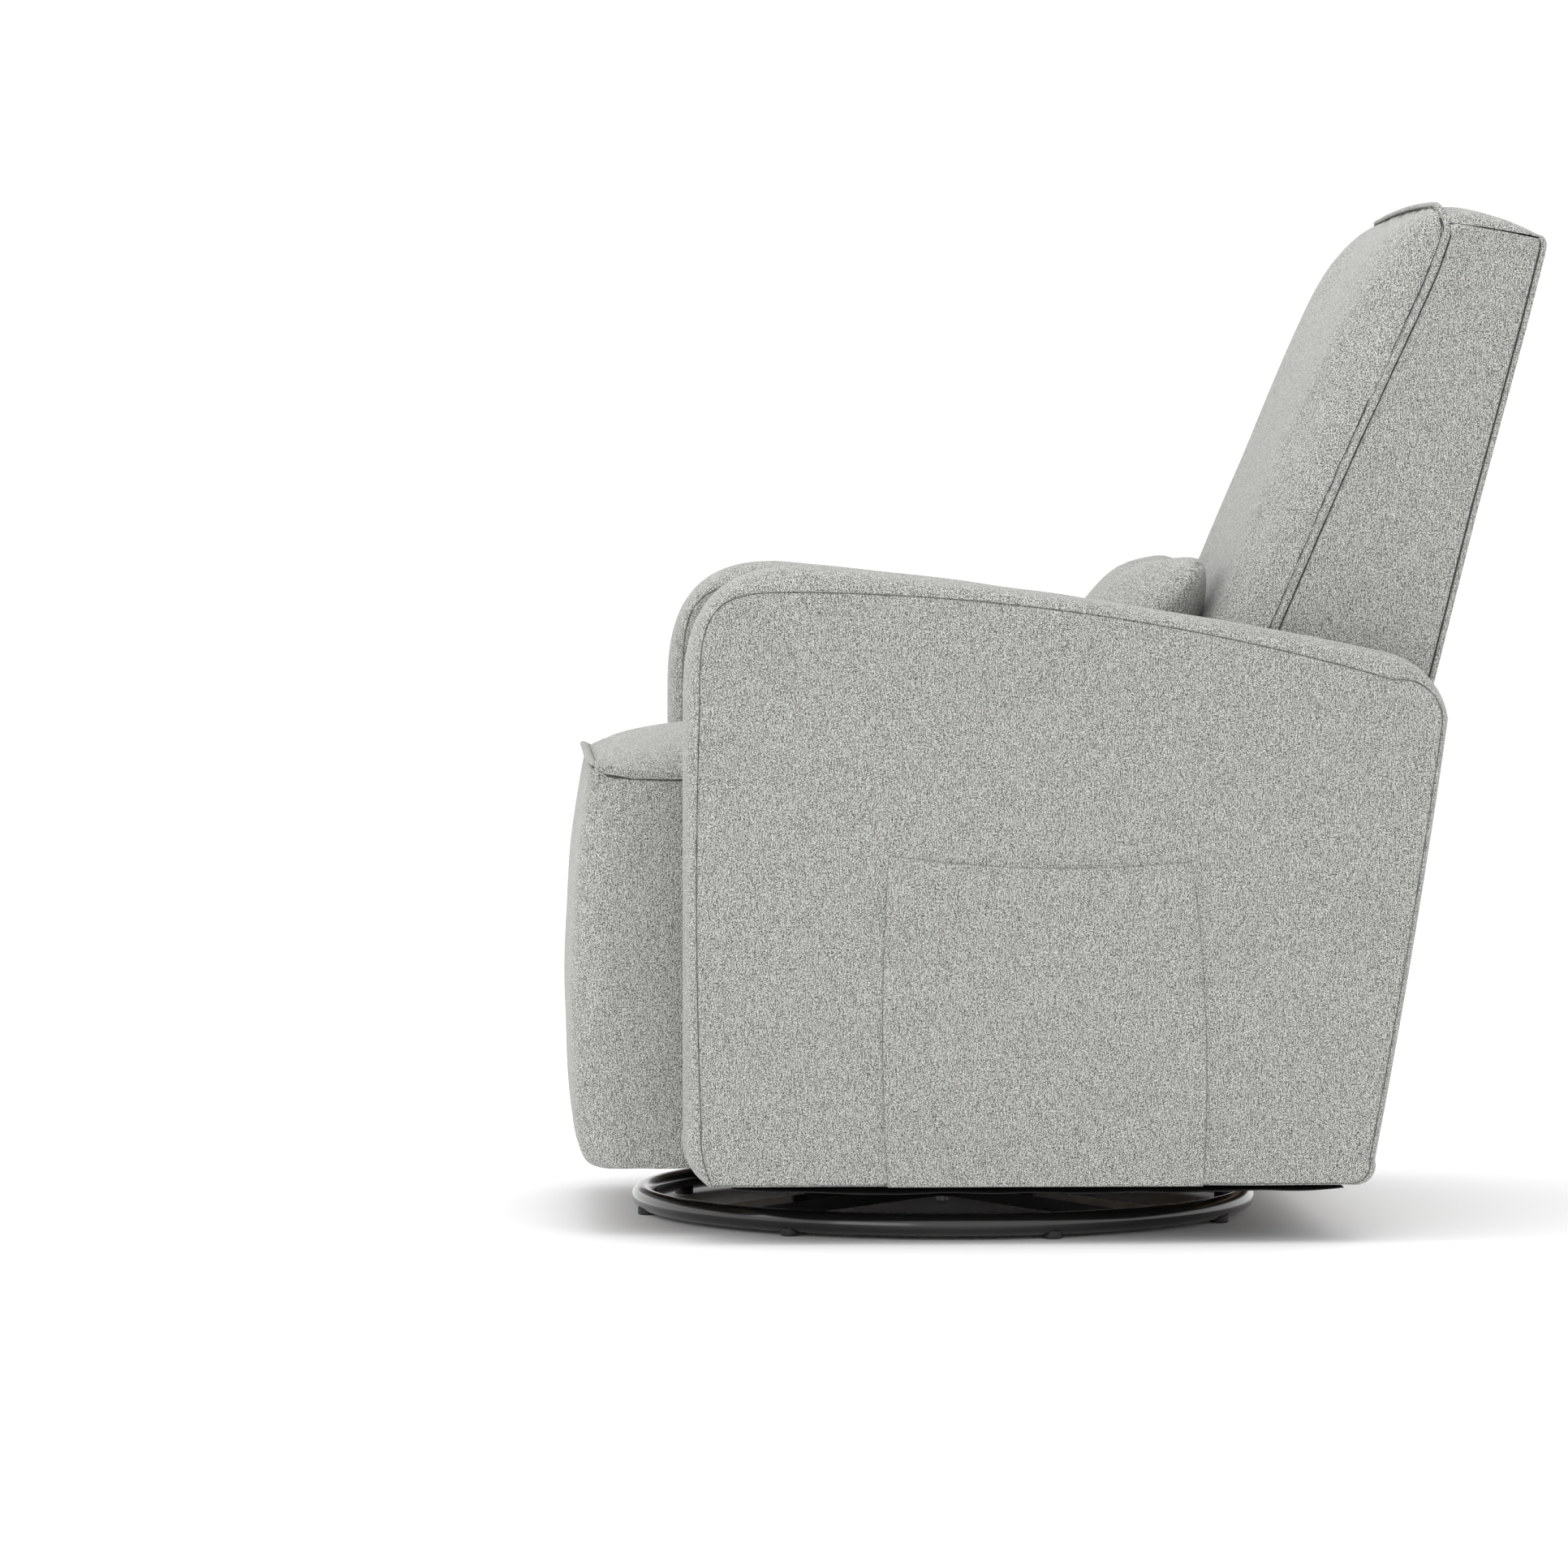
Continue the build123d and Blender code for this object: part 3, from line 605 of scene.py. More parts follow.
def make_arm():
    crest, middle_line = arm_loops()
    seam = offset(middle_line, SEAM_GAP)
    outer = panel("outer", seam, lambda u, v, h: (ARM_OUTER + h, u, v), **ARM_FULLNESS)
    inner = panel("inner", seam, lambda u, v, h: (ARM_INNER - h, u, v), crown=0.0006, uneven=0.0004, seed=5.0)
    half, middle = (ARM_OUTER - ARM_INNER) / 2, (ARM_OUTER + ARM_INNER) / 2
    start = offset(middle_line, -SEAM_GAP)
    rows = []
    for side in (1, -1):
        for lift in BAND_LIFTS if side == 1 else BAND_LIFTS[-2::-1]:
            bulge = side * half * (1 - lift ** 2.2) ** (1 / 2.6)
            row = []
            for (cu, cv), (su, sv) in zip(crest, start):
                height = math.dist((cu, cv), (su, sv))
                x = middle + bulge - side * turn_in(lift * height)
                wave = ripple((x, cu, cv), 0.07, 0.0011 * lift, 7.0)
                row.append((x, su + (cu - su) * lift, sv + (cv - sv) * lift + wave))
            rows.append(row)
    band = grid_object("band", rows, closed=True)
    return join("arm_left_cover", [outer, inner, band])


def cut_open(loop):
    """A loop with one long gap, as a list that starts after the gap."""
    start = next(i for i, p in enumerate(loop) if math.dist(p, loop[i - 1]) > 0.1)
    return loop[start:] + loop[:start]


def across_side(path):
    """For a path on the arm's side: the direction across it at each point, in the side's plane."""
    def across(i):
        ahead = path[min(i + 1, len(path) - 1)] - path[max(i - 1, 0)]
        return Vector((1, 0, 0)).cross(ahead)

    return across


def arm_skin(points):
    """How far out the arm's outer panel stands at these (y, z) points."""
    seam = offset(arm_loops()[1], SEAM_GAP)
    distances = loop_distance(points, seam)
    return [ARM_OUTER + panel_rise(u, v, d, **ARM_FULLNESS) for (u, v), d in zip(points, distances)]


POCKET_BACK = 0.0006  # the back of the pocket's cloth, out from the arm


def pocket_outline():
    """The patch: nearly square, its top edge dipping in the middle and its top corners drawn in."""
    low, high = pocket_low[2] - 0.0015, 0.3795
    front = arc((-0.174, low), (-0.179, 0.24), (-0.1730, high))
    top = arc((-0.1730, high), (0.0, 0.3665), (0.1215, 0.3725))
    rear = arc((0.1215, 0.3725), (0.1325, 0.27), (0.1335, low))
    return front + top + rear + line((0.1335, low), (-0.174, low))


def pocket_lift(u, v):
    """Height of the pocket's cloth over the arm, a little open along its top."""
    open_top = math.exp(-max(0.0, 0.372 - v) / 0.045)
    middle = dome(max(-1.0, min(1.0, (u + 0.022) / 0.156)), 2.2, 1.6)
    pull = math.exp(-(((u - 0.085) / 0.05) ** 2 + ((v - 0.335) / 0.05) ** 2))
    return 0.0030 + 0.0012 * open_top * middle + pull * (0.0012 + ripple((u, v, 0), 0.024, 0.0014, 12.0))


def make_pocket():
    """Cloth sewn on along its sides and bottom, open at the top where it stands off a little."""
    loop = pocket_outline()
    front = panel("front", loop, lambda u, v, h: (h + pocket_lift(u, v), u, v))
    back = panel("back", loop, lambda u, v, h: (POCKET_BACK, u, v))
    rim_front = [(pocket_lift(u, v) - SEAM_DEPTH, u, v) for u, v in loop]
    rim_back = [(POCKET_BACK, u, v) for u, v in loop]
    rim = grid_object("rim", [rim_front, rim_back], closed=True)
    pocket = join("arm_left_pocket", [front, back, rim])
    verts = pocket.data.vertices
    for v, skin in zip(verts, arm_skin([(v.co.y, v.co.z) for v in verts])):
        v.co.x = max(v.co.x, POCKET_BACK) + skin
    return face_outward(pocket)


def stitch_row(name, path, outward, pitch=0.0042, length=0.0027, thread=0.00045):
    """A row of short raised stitches along a path."""
    parts_v, parts_f = [], []
    for a, b in zip(path, path[1:]):
        run = b - a
        steps = max(1, int(run.length / pitch))
        for i in range(steps):
            start = a + run * (i / steps)
            ahead = run.normalized() * length
            across = ahead.cross(outward).normalized() * thread
            rise = outward * thread
            base = len(parts_v)
            for t, grow in ((0.0, 0.3), (0.25, 1.0), (0.75, 1.0), (1.0, 0.3)):
                p = start + ahead * t
                parts_v += [p + across * grow, p + rise * grow, p - across * grow, p - rise * grow]
            parts_f += grid_faces(4, 4, closed=True, start=base)
            parts_f += [(base, base + 1, base + 2, base + 3), (base + 12, base + 13, base + 14, base + 15)]
    return face_outward(new_object(name, parts_v, parts_f))


def make_arm_shade():
    """Painted shade down in the seam, round the outer face of the arm."""
    loop = cut_open([p for p in arm_loops()[1] if p[1] > ARM_BOTTOM + 0.006])
    path = [Vector((ARM_OUT - 0.0018, u, v)) for u, v in loop]
    return seam_shade("arm_left_seam_shade", path, across_side(path))


def make_pocket_shade():
    """Painted shade along the drawn-in edge of the pocket: two sides and the top."""
    loop = cut_open([p for p in offset(pocket_outline(), -0.0006) if p[1] > pocket_low[2] + 0.002])
    path = [Vector((skin + 0.0007, u, v)) for skin, (u, v) in zip(arm_skin(loop), loop)]
    return seam_shade("arm_left_pocket_edge_shade", path, across_side(path), half_wide=0.0007)


def make_pocket_stitches():
    """The hem's stitches, 9.5 mm under the pocket's top edge."""
    curve = spline([(0, 0.3790), (1, 0.3680), (2, 0.3725)], 24)
    hem = [(y, p[1] - 0.0095) for y, p in zip(np.linspace(-0.168, 0.116, 24), curve)]
    path = [Vector((skin + pocket_lift(y, z), y, z)) for skin, (y, z) in zip(arm_skin(hem), hem)]
    return stitch_row("arm_left_pocket_stitches", path, Vector((1, 0, 0)))


arm_shade = make_arm_shade()
# painted shade: the dark strip in the right arm's outer seam
upholster(mirrored(arm_shade, "arm_right_seam_shade"), material=PAINTED_SHADE)
arm_left = make_arm()
arm_right = mirrored(arm_left, "arm_right_cover")
upholster(arm_left, "arm_pad_left", fill=0.9)
upholster(arm_right, "arm_pad_right", fill=0.9)
pocket_left = make_pocket()
pocket_shade_left = make_pocket_shade()
hem_left = make_pocket_stitches()
for side, cloth, thread, edge in (
    ("left", pocket_left, hem_left, pocket_shade_left),
    (
        "right",
        mirrored(pocket_left, "arm_right_pocket"),
        mirrored(hem_left, "arm_right_pocket_stitches"),
        mirrored(pocket_shade_left, "arm_right_pocket_edge_shade"),
    ),
):
    upholster(cloth, f"arm_pocket_{side}")
    upholster(thread)
    # the pocket's edge strips are painted shade, in the dark seam-shade cloth
    upholster(edge, material=PAINTED_SHADE)


# ---- dust covers under the arms --------------------------------------------------------------
def make_dust_cover():
    """Thin black cloth stapled along its edges, sagging between them."""
    rows = []
    for x in np.linspace(dust_low[0], dust_high[0], 14):
        row = []
        for y in np.linspace(dust_low[1], dust_high[1], 60):
            s = (2 * y - dust_low[1] - dust_high[1]) / (dust_high[1] - dust_low[1])
            sag = 0.0045 * dome(s, 3.0, 1.4)
            row.append((x, y, dust_high[2] - sag + ripple((x, y, 0), 0.045, 0.0016, 13.0)))
        rows.append(row)
    sheet = grid_object("dust_left_sheet", rows)
    solid = sheet.modifiers.new("Solidify", "SOLIDIFY")
    solid.thickness = 0.0006
    solid.offset = -1
    return sheet


dust_left = make_dust_cover()
for side, cloth in (("left", dust_left), ("right", mirrored(dust_left, "dust_right_sheet"))):
    upholster(cloth, f"dust_cover_{side}", slot="dust_cloth")


# ---- seat ------------------------------------------------------------------------------------
SEAT_EDGE = -0.459  # front seam of the seat's top panel
# the seam along the top panel's side: place from front to rear, and height
SIDE_SEAM = [(-0.459, 0.4650), (-0.445, 0.4590), (-0.420, 0.4545), (-0.360, 0.4530), (0.100, 0.4530)]
CROWN_RISE, CROWN_RUN = 0.041, 0.30  # of the top panel, up and back from its front seam


def seat_top_z(x, y):
    """Height of the crowned top panel."""
    seam = along(SIDE_SEAM, y)
    run = min(1.0, (y - SEAT_EDGE) / CROWN_RUN)
    middle = SIDE_SEAM[0][1] + CROWN_RISE * math.sqrt(max(0.0, 1 - (1 - run) ** 2))
    return seam + (middle - seam) * dome(x / SEAT_HALF, 2.6, 1.55)


def make_seat_top():
    rear = 0.108
    xs = SEAT_HALF * np.sin(np.linspace(-math.pi / 2, math.pi / 2, 65))
    t = np.linspace(0, 1, 66)
    ys = SEAT_EDGE + (rear - SEAT_EDGE) * (0.65 * t + 0.35 * t * t)
    top = [[(x, y, seat_top_z(x, y)) for x in xs] for y in ys]
    low = [[(x * 0.98, max(y, SEAT_EDGE + 0.005), 0.447) for x in xs] for y in ys]
    rows, cols = len(top), len(top[0])
    verts = [p for row in top for p in row] + [p for row in low for p in row]
    count = rows * cols
    faces = grid_faces(rows, cols) + [tuple(reversed(f)) for f in grid_faces(rows, cols, start=count)]
    edge = grid_edge(rows, cols)
    faces += [(a, b, b + count, a + count) for a, b in zip(edge, edge[1:] + edge[:1])]
    cushion = new_object("seat_top_cover", verts, faces)
    face_outward(cushion, weld=False)
    pinned = edge + list(range(count, 2 * count))
    swell(cushion, pinned, pressure=1.4, cap=0.0030, slack=0.010)
    return subdivide(cushion)


# the front panel's bulge: height, and how far forward
FRONT_LINE = smooth_table([
    (0.066, -0.4580), (0.072, -0.4665), (0.090, -0.4740), (0.115, -0.4775), (0.176, -0.4800),
    (0.242, -0.4809), (0.308, -0.4784), (0.374, -0.4743), (0.4405, -0.4652), (0.463, -0.4600),
])


def make_seat_front():
    """One cloth round the front of the seat box and back along both sides."""
    top, corner = 0.4610, 0.038
    hem = SEAT_BOTTOM + 0.012 * (1 - np.cos(np.linspace(0, 1.5, 8)))
    under_seam = top - np.array([0.0022, 0.0012, 0.0005, 0])
    levels = np.concatenate([hem, np.linspace(0.080, top - 0.004, 56), under_seam])
    rows = []
    for z in levels:
        z = float(z)
        front = along(FRONT_LINE, z)
        tuck = 0.006 * max(0.0, 1 - (z - SEAT_BOTTOM) / 0.012) ** 2
        half = SEAT_HALF - tuck + 0.0005
        bow = 0.003 * math.sin(math.pi * (z - SEAT_BOTTOM) / (top - SEAT_BOTTOM))
        plan = [(half, y) for y in np.linspace(-0.300, front + corner, 16)]
        for a in np.linspace(0, math.pi / 2, 12)[1:]:
            plan.append((half - corner + corner * math.cos(a), front + corner - corner * math.sin(a)))
        plan += [(x, front - bow * (1 - (x / half) ** 2)) for x in np.linspace(half - corner, 0, 24)[1:]]
        plan += [(-x, y) for x, y in reversed(plan[:-1])]
        row = []
        share = (z - SEAT_BOTTOM) / (top - SEAT_BOTTOM)
        near_edge = math.exp(-(z - SEAT_BOTTOM) / 0.03)
        for x, y in plan:
            out = ripple((x, y, z), 0.10, 0.0016, 17.0)
            out += ripple((x, y, z / 3), 0.018, 0.0014 * near_edge, 19.0)
            lift = ripple((x, y, 0), 0.022, 0.0016 * near_edge, 21.0)
            seam = along(SIDE_SEAM, y) - 0.0043
            lift += (seam - top) * share ** 3
            side = Vector((x, y + 0.25)).normalized()
            inward = turn_in((1 - share) * (top - SEAT_BOTTOM))
            row.append((x + side.x * (out * 0.4 - inward), y + side.y * (out - inward), z + lift))
        rows.append(row)
    bottom = [(x * 0.9, y + 0.03 * (y < -0.31), z + 0.001) for x, y, z in rows[0]]
    cover = grid_object("seat_front_cover", [bottom] + rows)
    return subdivide(face_outward(cover))


def seat_flange_path():
    """Round the seat's top seam, from one side to the other."""
    corner = 0.014
    half = SEAT_HALF + 0.0005
    side = [(half, y, along(SIDE_SEAM, y) - 0.001) for y in np.linspace(0.05, SEAT_EDGE + corner, 80)]
    turn = []
    for a in np.linspace(0, math.pi / 2, 10)[1:]:
        x, y = half - corner + corner * math.cos(a), SEAT_EDGE + corner - corner * math.sin(a)
        turn.append((x, y, along(SIDE_SEAM, y) + 0.0015 * math.sin(a)))
    front = [(x, SEAT_EDGE, SIDE_SEAM[0][1] + 0.0015) for x in np.linspace(half - corner, 0, 50)[1:]]
    half_path = side + turn + front
    return [Vector(p) for p in half_path + [(-x, y, z) for x, y, z in reversed(half_path[:-1])]]


def make_seat_flange():
    path = seat_flange_path()

    def across(i):
        p = path[i]
        forward = 1.0 if p.y < SEAT_EDGE + 0.012 else 0.0
        sideways = math.copysign(1.0, p.x) if abs(p.x) > SEAT_HALF - 0.012 else 0.0
        flat = Vector((sideways, -forward, 0)).normalized()
        tip = 0.45 if forward else 1.5
        return flat + Vector((0, 0, tip))

    lifted = [p + across(i).normalized() * 0.0022 for i, p in enumerate(path)]
    return tube("seat_flange", lifted, across, 0.0052, 0.0026)


upholster(make_seat_top(), "seat_cushion", fill=0.85)
upholster(make_seat_front(), "seat_front_panel", fill=0.8)
upholster(make_seat_flange())
# painted shade: a dark strip under the seat's flange, where the flange's shadow falls in the seam
below_flange = [Vector((p.x * 0.993, p.y * 0.996, p.z - 0.0026)) for p in seat_flange_path()]
seam_shade("seat_seam_shade", below_flange, lambda i: Vector((0, 0, 1)), half_wide=0.0032)


# ---- back ------------------------------------------------------------------------------------
# lines of the back seen from its side, as height and place from front to rear: the crown of its
# front, the front seam, and the rear edge
CREST_LINE = smooth_table([
    (0.400, 0.073), (0.500, 0.113), (0.659, 0.1812), (0.7855, 0.2350), (0.8655, 0.2685), (0.929, 0.2970),
    (0.962, 0.3150), (0.982, 0.3295), (0.997, 0.3430), (1.006, 0.3560), (1.0135, 0.3735),
])
BACK_SEAM = smooth_table([
    (0.400, 0.1235), (0.600, 0.2093), (0.735, 0.2670), (0.815, 0.3030), (0.900, 0.3425), (0.940, 0.3605),
    (0.970, 0.3720), (0.992, 0.3780), (1.0135, 0.3735),
])
REAR_EDGE = [(OUTSIDE_LOW, 0.288), (0.540, 0.370), (0.713, 0.4131), (0.905, 0.4642), (0.9765, BACK_REAR)]
BACK_SIDE = SEAT_HALF - 0.0005
TOP_CORNER = 0.034  # radius of the back's top corners
BACK_CREST = BACK_TOP + 0.0005


def back_half(z):
    """Half width of the back at a height, its top corners rounded."""
    over = max(0.0, z - (BACK_CREST - TOP_CORNER)) / TOP_CORNER
    return BACK_SIDE - TOP_CORNER * (1 - math.sqrt(max(0.0, 1 - min(1.0, over) ** 2)))


# shares of the way from the front seam to the crown
EDGE_LIFTS = [0, 0.006, 0.013, 0.022, 0.035, 0.06, 0.1, 0.16, 0.24, 0.33, 0.43, 0.53, 0.63, 0.72, 0.8, 0.87]


def make_back_front():
    shoulder = 0.935
    climb = np.sin(np.linspace(0.06, math.pi / 2, 26))
    levels = list(np.linspace(0.430, shoulder, 58)) + list(shoulder + (BACK_CREST - shoulder) * climb)
    wing = [(1 - lift ** 2.2) ** (1 / 6) for lift in EDGE_LIFTS]
    inner = list(np.linspace(wing[-1], 0, 19)[1:])
    across = [-s for s in wing + inner] + (wing + inner)[-2::-1]
    front, rear = [], []
    for z in levels:
        seam, crest, half = along(BACK_SEAM, z), along(CREST_LINE, z), back_half(z)
        lift = 0.004 * max(0.0, (z - 0.97) / 0.0435)
        row, behind = [], []
        for s in across:
            proud = (crest - seam) * dome(s, 6.0, 2.2)
            x = s * half - math.copysign(turn_in(proud), s)
            row.append((x, seam + proud, z + lift * dome(s, 2, 1)))
            behind.append((x, seam + 0.004, z + lift * dome(s, 2, 1)))
        front.append(row)
        rear.append(behind)
    rows, cols, count = len(front), len(across), len(front) * len(across)
    verts = [p for row in front + rear for p in row]
    faces = grid_faces(rows, cols) + grid_faces(rows, cols, start=count)
    edge = grid_edge(rows, cols)
    faces += [(a, b, b + count, a + count) for a, b in zip(edge, edge[1:] + edge[:1])]
    cushion = new_object("back_front_cover", verts, faces)
    face_outward(cushion, weld=False)
    swell(cushion, edge + list(range(count, 2 * count)), pressure=1.8, cap=0.005, slack=0.010)
    return subdivide(cushion)


FLANGE_X = BACK_SIDE - 0.0014  # middle of the flange
FLANGE_STEP = 0.0046  # its distance behind the front seam
FLANGE_LEAN = 0.0050  # how far it leans forward over the top


def make_back_flange():
    sides = []
    for z in np.linspace(0.44, BACK_CREST - TOP_CORNER, 90):
        sides.append((FLANGE_X, along(BACK_SEAM, z) + FLANGE_STEP, z))
    for a in np.linspace(0, math.pi / 2, 16)[1:]:
        z = BACK_CREST - TOP_CORNER + TOP_CORNER * math.sin(a)
        x = FLANGE_X - TOP_CORNER * (1 - math.cos(a))
        forward = FLANGE_LEAN * (1 - math.cos(a))
        sides.append((x, along(BACK_SEAM, z) + FLANGE_STEP - forward, z + 0.0025 * math.sin(a)))
    inner = FLANGE_X - TOP_CORNER
    top_y = along(BACK_SEAM, BACK_CREST) + FLANGE_STEP - FLANGE_LEAN
    for x in np.linspace(inner, 0, 40)[1:]:
        sides.append((x, top_y, BACK_CREST + 0.0025 + 0.004 * dome(x / inner, 2, 1)))
    path = [Vector(p) for p in sides + [(-x, y, z) for x, y, z in reversed(sides[:-1])]]

    def across(i):
        p = path[i]
        side = 0.35 * math.copysign(1, p.x) if p.z < BACK_CREST - TOP_CORNER else 0.0
        return Vector((side, 1.0, 0.2 if p.z > BACK_CREST - 0.01 else 0.0))

    return tube("back_flange", path, across, 0.0033, 0.0026), path


# top edges of the side panel and of the top panel: place from front to rear, and height
SIDE_TOP = [(0.386, 0.9960), (0.4174, 0.9919), (0.445, 0.9870), (0.474, 0.9812)]
OUTSIDE_HALF = BACK_SIDE + 0.0006  # half width over the side panels


def make_back_side():
    """Flat side panel between the front flange and the rear seam."""
    front = [(along(BACK_SEAM, z) + 0.0092, z) for z in np.linspace(0.44, 0.985, 80)]
    top = [tuple(p) for p in spline([front[-1], *SIDE_TOP], 18)][1:]
    rear = [(along(REAR_EDGE, z) - 0.0078, z) for z in np.linspace(0.972, 0.44, 80)]
    bottom = line(rear[-1], front[0])[1:]
    loop = front + top + rear + bottom
    fullness = {"crown": 0.0018, "uneven": 0.0009, "seed": 23.0, "crown_width": 0.06}
    return panel("back_left_side", loop, lambda u, v, h: (OUTSIDE_HALF + h, u, v), **fullness)


TOP_LINE = smooth_table([
    (0.379, 1.0140), (0.3988, 1.0140), (0.4179, 1.0105), (0.4435, 1.0020), (0.4626, 0.9930), (0.4780, 0.9845),
])


def make_back_top():
    rows = []
    for y in np.linspace(0.379, 0.4775, 22):
        crest = along(TOP_LINE, y)
        low = along(SIDE_TOP, y) + 0.0010
        corner = 0.004 * max(0.0, 1 - (y - 0.379) / 0.02) ** 2
        row = []
        for s in np.sin(np.linspace(-math.pi / 2, math.pi / 2, 61)):
            z = low + (crest + 0.003 * dome(s, 2, 1) - low) * dome(s, 9.0, 2.2)
            row.append((s * (BACK_SIDE - corner), y, z + ripple((s * 0.26, y, 0), 0.06, 0.0012, 27.0)))
        rows.append(row)
    under = [[(x, y, z - 0.012) for x, y, z in row] for row in rows]
    return subdivide(face_outward(grid_object("back_top_cover", rows + under[::-1])))


# from the rear seam round the corner: distance in from the side, and in from the rear
OUTSIDE_ROLL = [
    (0.0034, 0.0062), (0.0016, 0.0061), (0.0006, 0.0056), (0.0001, 0.0048), (0, 0.0038),
    (0.0004, 0.0022), (0.0013, 0.0010), (0.0027, 0.0003), (0.0045, 0),
]


def make_back_outside():
    """The outside back: a flat cloth whose edges turn in at the seams."""
    climb = np.sin(np.linspace(0.15, math.pi / 2, 12))
    levels = list(np.linspace(OUTSIDE_LOW, 0.950, 90)) + list(0.950 + 0.0345 * climb)
    rows = []
    for z in levels:
        edge = along(REAR_EDGE, z)
        over = max(0.0, (z - 0.968) / 0.0165)
        rise = 0.007 * (1 - math.sqrt(max(0.0, 1 - min(1.0, over) ** 2)))
        wrap = [(OUTSIDE_HALF - u, edge - 0.0001 - v) for u, v in OUTSIDE_ROLL]
        face = [(x, edge) for x in np.linspace(wrap[-1][0], 0, 24)[1:]]
        plan = wrap + face
        plan += [(-x, y) for x, y in reversed(plan[:-1])]
        row = []
        for x, y in plan:
            level = dome(x / OUTSIDE_HALF, 8, 1)
            row.append((x, y - rise + ripple((x, 0, z), 0.12, 0.0014, 31.0) * level - 0.001 * level, z))
        rows.append(row)
    return subdivide(face_outward(grid_object("back_outside_cover", rows)))


upholster(make_back_front(), "back_cushion", fill=0.85)
back_flange, flange_path = make_back_flange()
upholster(back_flange)
# painted shade: a dark strip under the back's flange, where the flange's shadow falls in the seam
under_flange = []
for point in flange_path:
    on_top = point.z > BACK_CREST - 0.01
    under_flange.append(Vector((point.x * 0.9905, point.y + 0.002 * on_top, point.z - 0.0035 * on_top)))
seam_shade("back_flange_seam_shade", under_flange, lambda i: Vector((0, 1, 0)), half_wide=0.0056)
# painted shade: dark strips in the rear and top seams of each side panel
for side, name in ((1, "left"), (-1, "right")):
    x = side * (BACK_SIDE - 0.0022)
    rear_path = [Vector((x, along(REAR_EDGE, z) - 0.0066, z)) for z in np.linspace(0.44, 0.972, 60)]
    top_path = [Vector((x, u + 0.006, v - 0.0006)) for u, v in SIDE_TOP[:-1]]
    seam_shade(f"back_{name}_rear_seam_shade", rear_path, lambda i: Vector((0, 1, -0.25)))
    seam_shade(f"back_{name}_top_seam_shade", top_path, lambda i: Vector((0, 0.2, 1)))
left_side = make_back_side()
right_side = mirrored(left_side, "back_right_side")
upholster(left_side, "back_side_panel_left", fill=0.9)
upholster(right_side, "back_side_panel_right", fill=0.9)
upholster(make_back_top(), "back_top_panel", fill=0.9)
upholster(make_back_outside(), "back_outer_panel", fill=0.9)


# ---- seat sides, between the arms and the box ------------------------------------------------
def make_seat_sides():
    low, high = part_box("seat_side_panels")
    rows = []
    for z in np.linspace(low[2], high[2] + 0.04, 40):
        rows.append([(high[0] - 0.0015, y, z) for y in np.linspace(-0.320, high[1], 50)])
    left = grid_object("seat_left_side", rows)
    solid = left.modifiers.new("Solidify", "SOLIDIFY")
    solid.thickness = 0.004
    return left


seat_left = make_seat_sides()
seat_right = mirrored(seat_left, "seat_right_side")
upholster(seat_left, "seat_side_panels", fill=0.9)
upholster(seat_right, "seat_side_panels", fill=0.9)


# ---- lumbar pillow ---------------------------------------------------------------------------
PILLOW_TALL = 0.262
PILLOW_LEAN = math.radians(38)
SEAT_CLEAR, BACK_CLEAR = 0.0045, 0.0075  # the pillow's distance from the seat and the back before they swell


def make_pillow():
    """Two cloths sewn edge to edge and filled; it rests on the seat and against the back."""
    wide = (pillow_high[0] - pillow_low[0]) * 1.03
    cols, rows = 62, 42
    verts = []
    for face in (1, -1):
        for r in range(rows):
            for c in range(cols):
                s, t = 2 * c / (cols - 1) - 1, 2 * r / (rows - 1) - 1
                thick = 0.034 * dome(s, 4.5, 2.0) * dome(t, 2.6, 1.8) + 0.0004
                drawn = 1 - 0.17 * (s * t) ** 4
                x = s * wide / 2 * drawn * (1 - 0.03 * (1 - t * t))
                y = t * PILLOW_TALL / 2 * drawn * (1 - 0.04 * (1 - s * s))
                verts.append((x, y, face * thick))
    count = rows * cols
    faces = grid_faces(rows, cols) + [tuple(reversed(f)) for f in grid_faces(rows, cols, start=count)]
    edge = grid_edge(rows, cols)
    faces += [(b, a, a + count, b + count) for a, b in zip(edge, edge[1:] + edge[:1])]
    pillow = new_object("lumbar_pillow_cover", verts, faces)
    face_outward(pillow, weld=False)
    swell(pillow, [], pressure=5.0, cap=0.030, slack=0.0, frames=24)
    middle_y = (pillow_low[1] + pillow_high[1]) / 2 + 0.022
    middle_z = (pillow_low[2] + pillow_high[2]) / 2 - 0.018
    for v in pillow.data.vertices:
        x, up, out = v.co.x, v.co.y, v.co.z * 0.86
        y = middle_y + up * math.sin(PILLOW_LEAN) - out * math.cos(PILLOW_LEAN)
        z = middle_z + up * math.cos(PILLOW_LEAN) + out * math.sin(PILLOW_LEAN)
        z = max(z, seat_top_z(max(-SEAT_HALF, min(SEAT_HALF, x)), min(y, 0.1)) + SEAT_CLEAR)
        seam, crest = along(BACK_SEAM, z), along(CREST_LINE, z)
        limit = seam + (crest - seam) * dome(x / BACK_SIDE, 6.0, 2.2) - BACK_CLEAR
        v.co = (x, min(y, limit), z)
    return subdivide(pillow)


upholster(make_pillow(), "lumbar_pillow", body="pillow", fill=0.7)


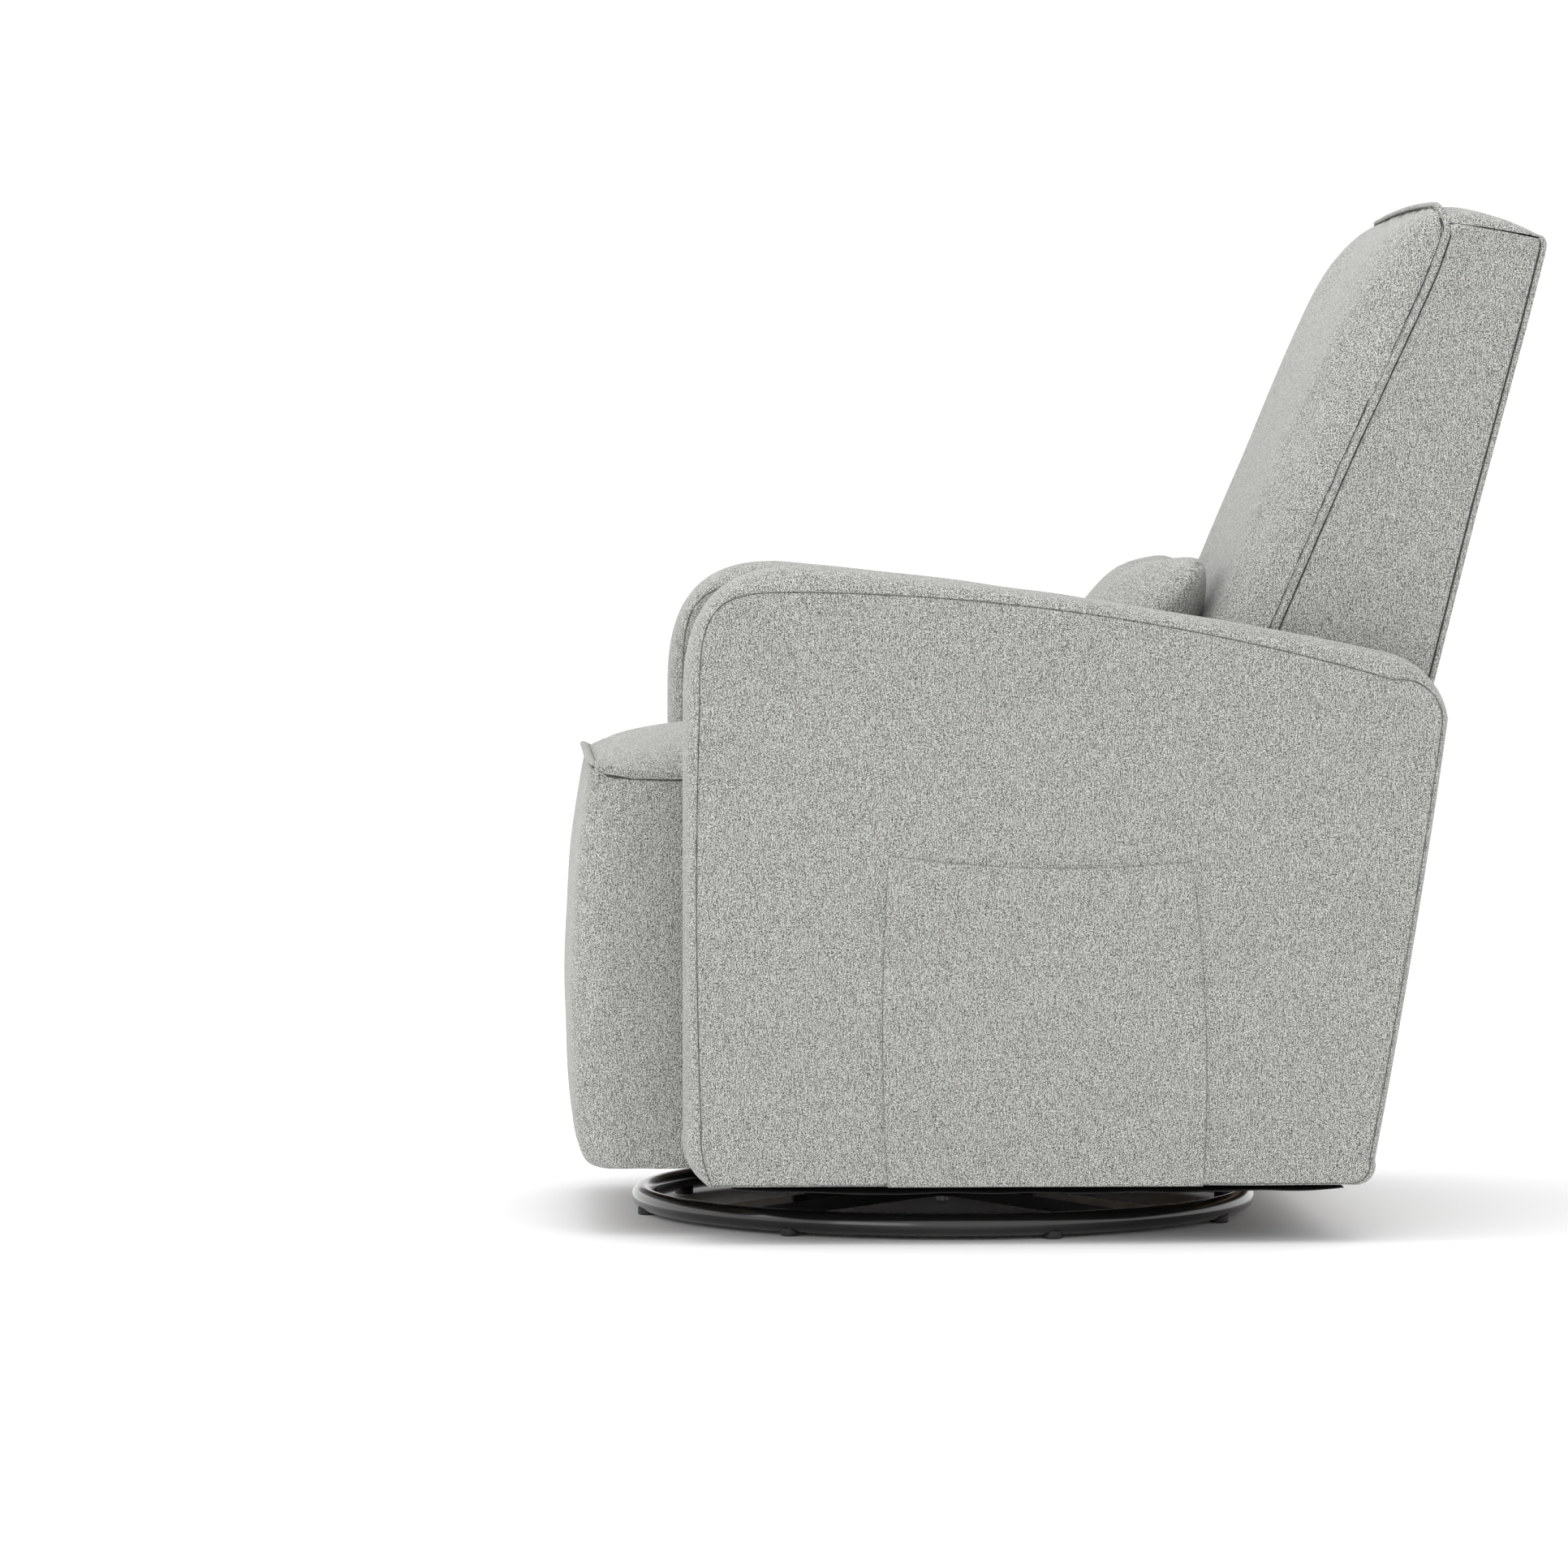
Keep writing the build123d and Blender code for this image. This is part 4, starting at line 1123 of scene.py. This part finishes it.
# ---- the CAD pieces that stay take their own finish ------------------------------------------
slots = {entry["node"]: entry["material_slot"] for entry in frame["record"]["subparts"]}
for node, obj in frame["nodes"].items():
    if obj.type == "MESH":
        for place in obj.material_slots:
            place.material = MATERIALS[slots[node]]


# ---- floor, light and camera -----------------------------------------------------------------
def area_light(name, place, target, size, power):
    lamp = bpy.data.lights.new(name, "AREA")
    lamp.shape = "RECTANGLE"
    lamp.size, lamp.size_y = size
    lamp.energy = power
    obj = bpy.data.objects.new(name, lamp)
    obj.location = place
    obj.rotation_euler = (Vector(target) - Vector(place)).to_track_quat("-Z", "Y").to_euler()
    bpy.context.scene.collection.objects.link(obj)


def make_stage():
    reach = 30.0
    corners = [(-reach, -reach, 0), (reach, -reach, 0), (reach, reach, 0), (-reach, reach, 0)]
    floor = new_object("floor", corners, [(0, 1, 2, 3)])
    mat, _, shader = new_material("pale_floor")
    shader.inputs["Base Color"].default_value = (0.97, 0.97, 0.97, 1)
    shader.inputs["Roughness"].default_value = 0.9
    floor.data.materials.append(mat)
    world = bpy.data.worlds.new("studio")
    bpy.context.scene.world = world
    world.use_nodes = True
    sky = world.node_tree.nodes["Background"]
    sky.inputs["Color"].default_value = (1, 1, 1, 1)
    sky.inputs["Strength"].default_value = 1.06
    area_light("front_softbox", (0.6, -4.2, 2.6), (0, 0, 0.5), (3.0, 2.4), 22)
    area_light("top_softbox", (0.6, -0.2, 4.2), (0, 0, 0.4), (3.2, 3.2), 54)
    area_light("side_fill", (4.6, -2.6, 1.0), (0.1, 0, 0.5), (2.6, 1.6), 19)


def make_camera():
    """Far off on the sitter's left, a little above the arms and looking slightly down."""
    place, target = Vector((7.0, -0.547, 0.717)), Vector((0, -0.2605, 0.435))
    data = bpy.data.cameras.new("camera")
    data.sensor_width = 36.0
    data.lens = 157.8
    camera = bpy.data.objects.new("camera", data)
    camera.location = place
    camera.rotation_euler = (target - place).to_track_quat("-Z", "Y").to_euler()
    bpy.context.scene.collection.objects.link(camera)
    bpy.context.scene.camera = camera


make_stage()
make_camera()
bpy.context.scene.view_settings.view_transform = "Standard"
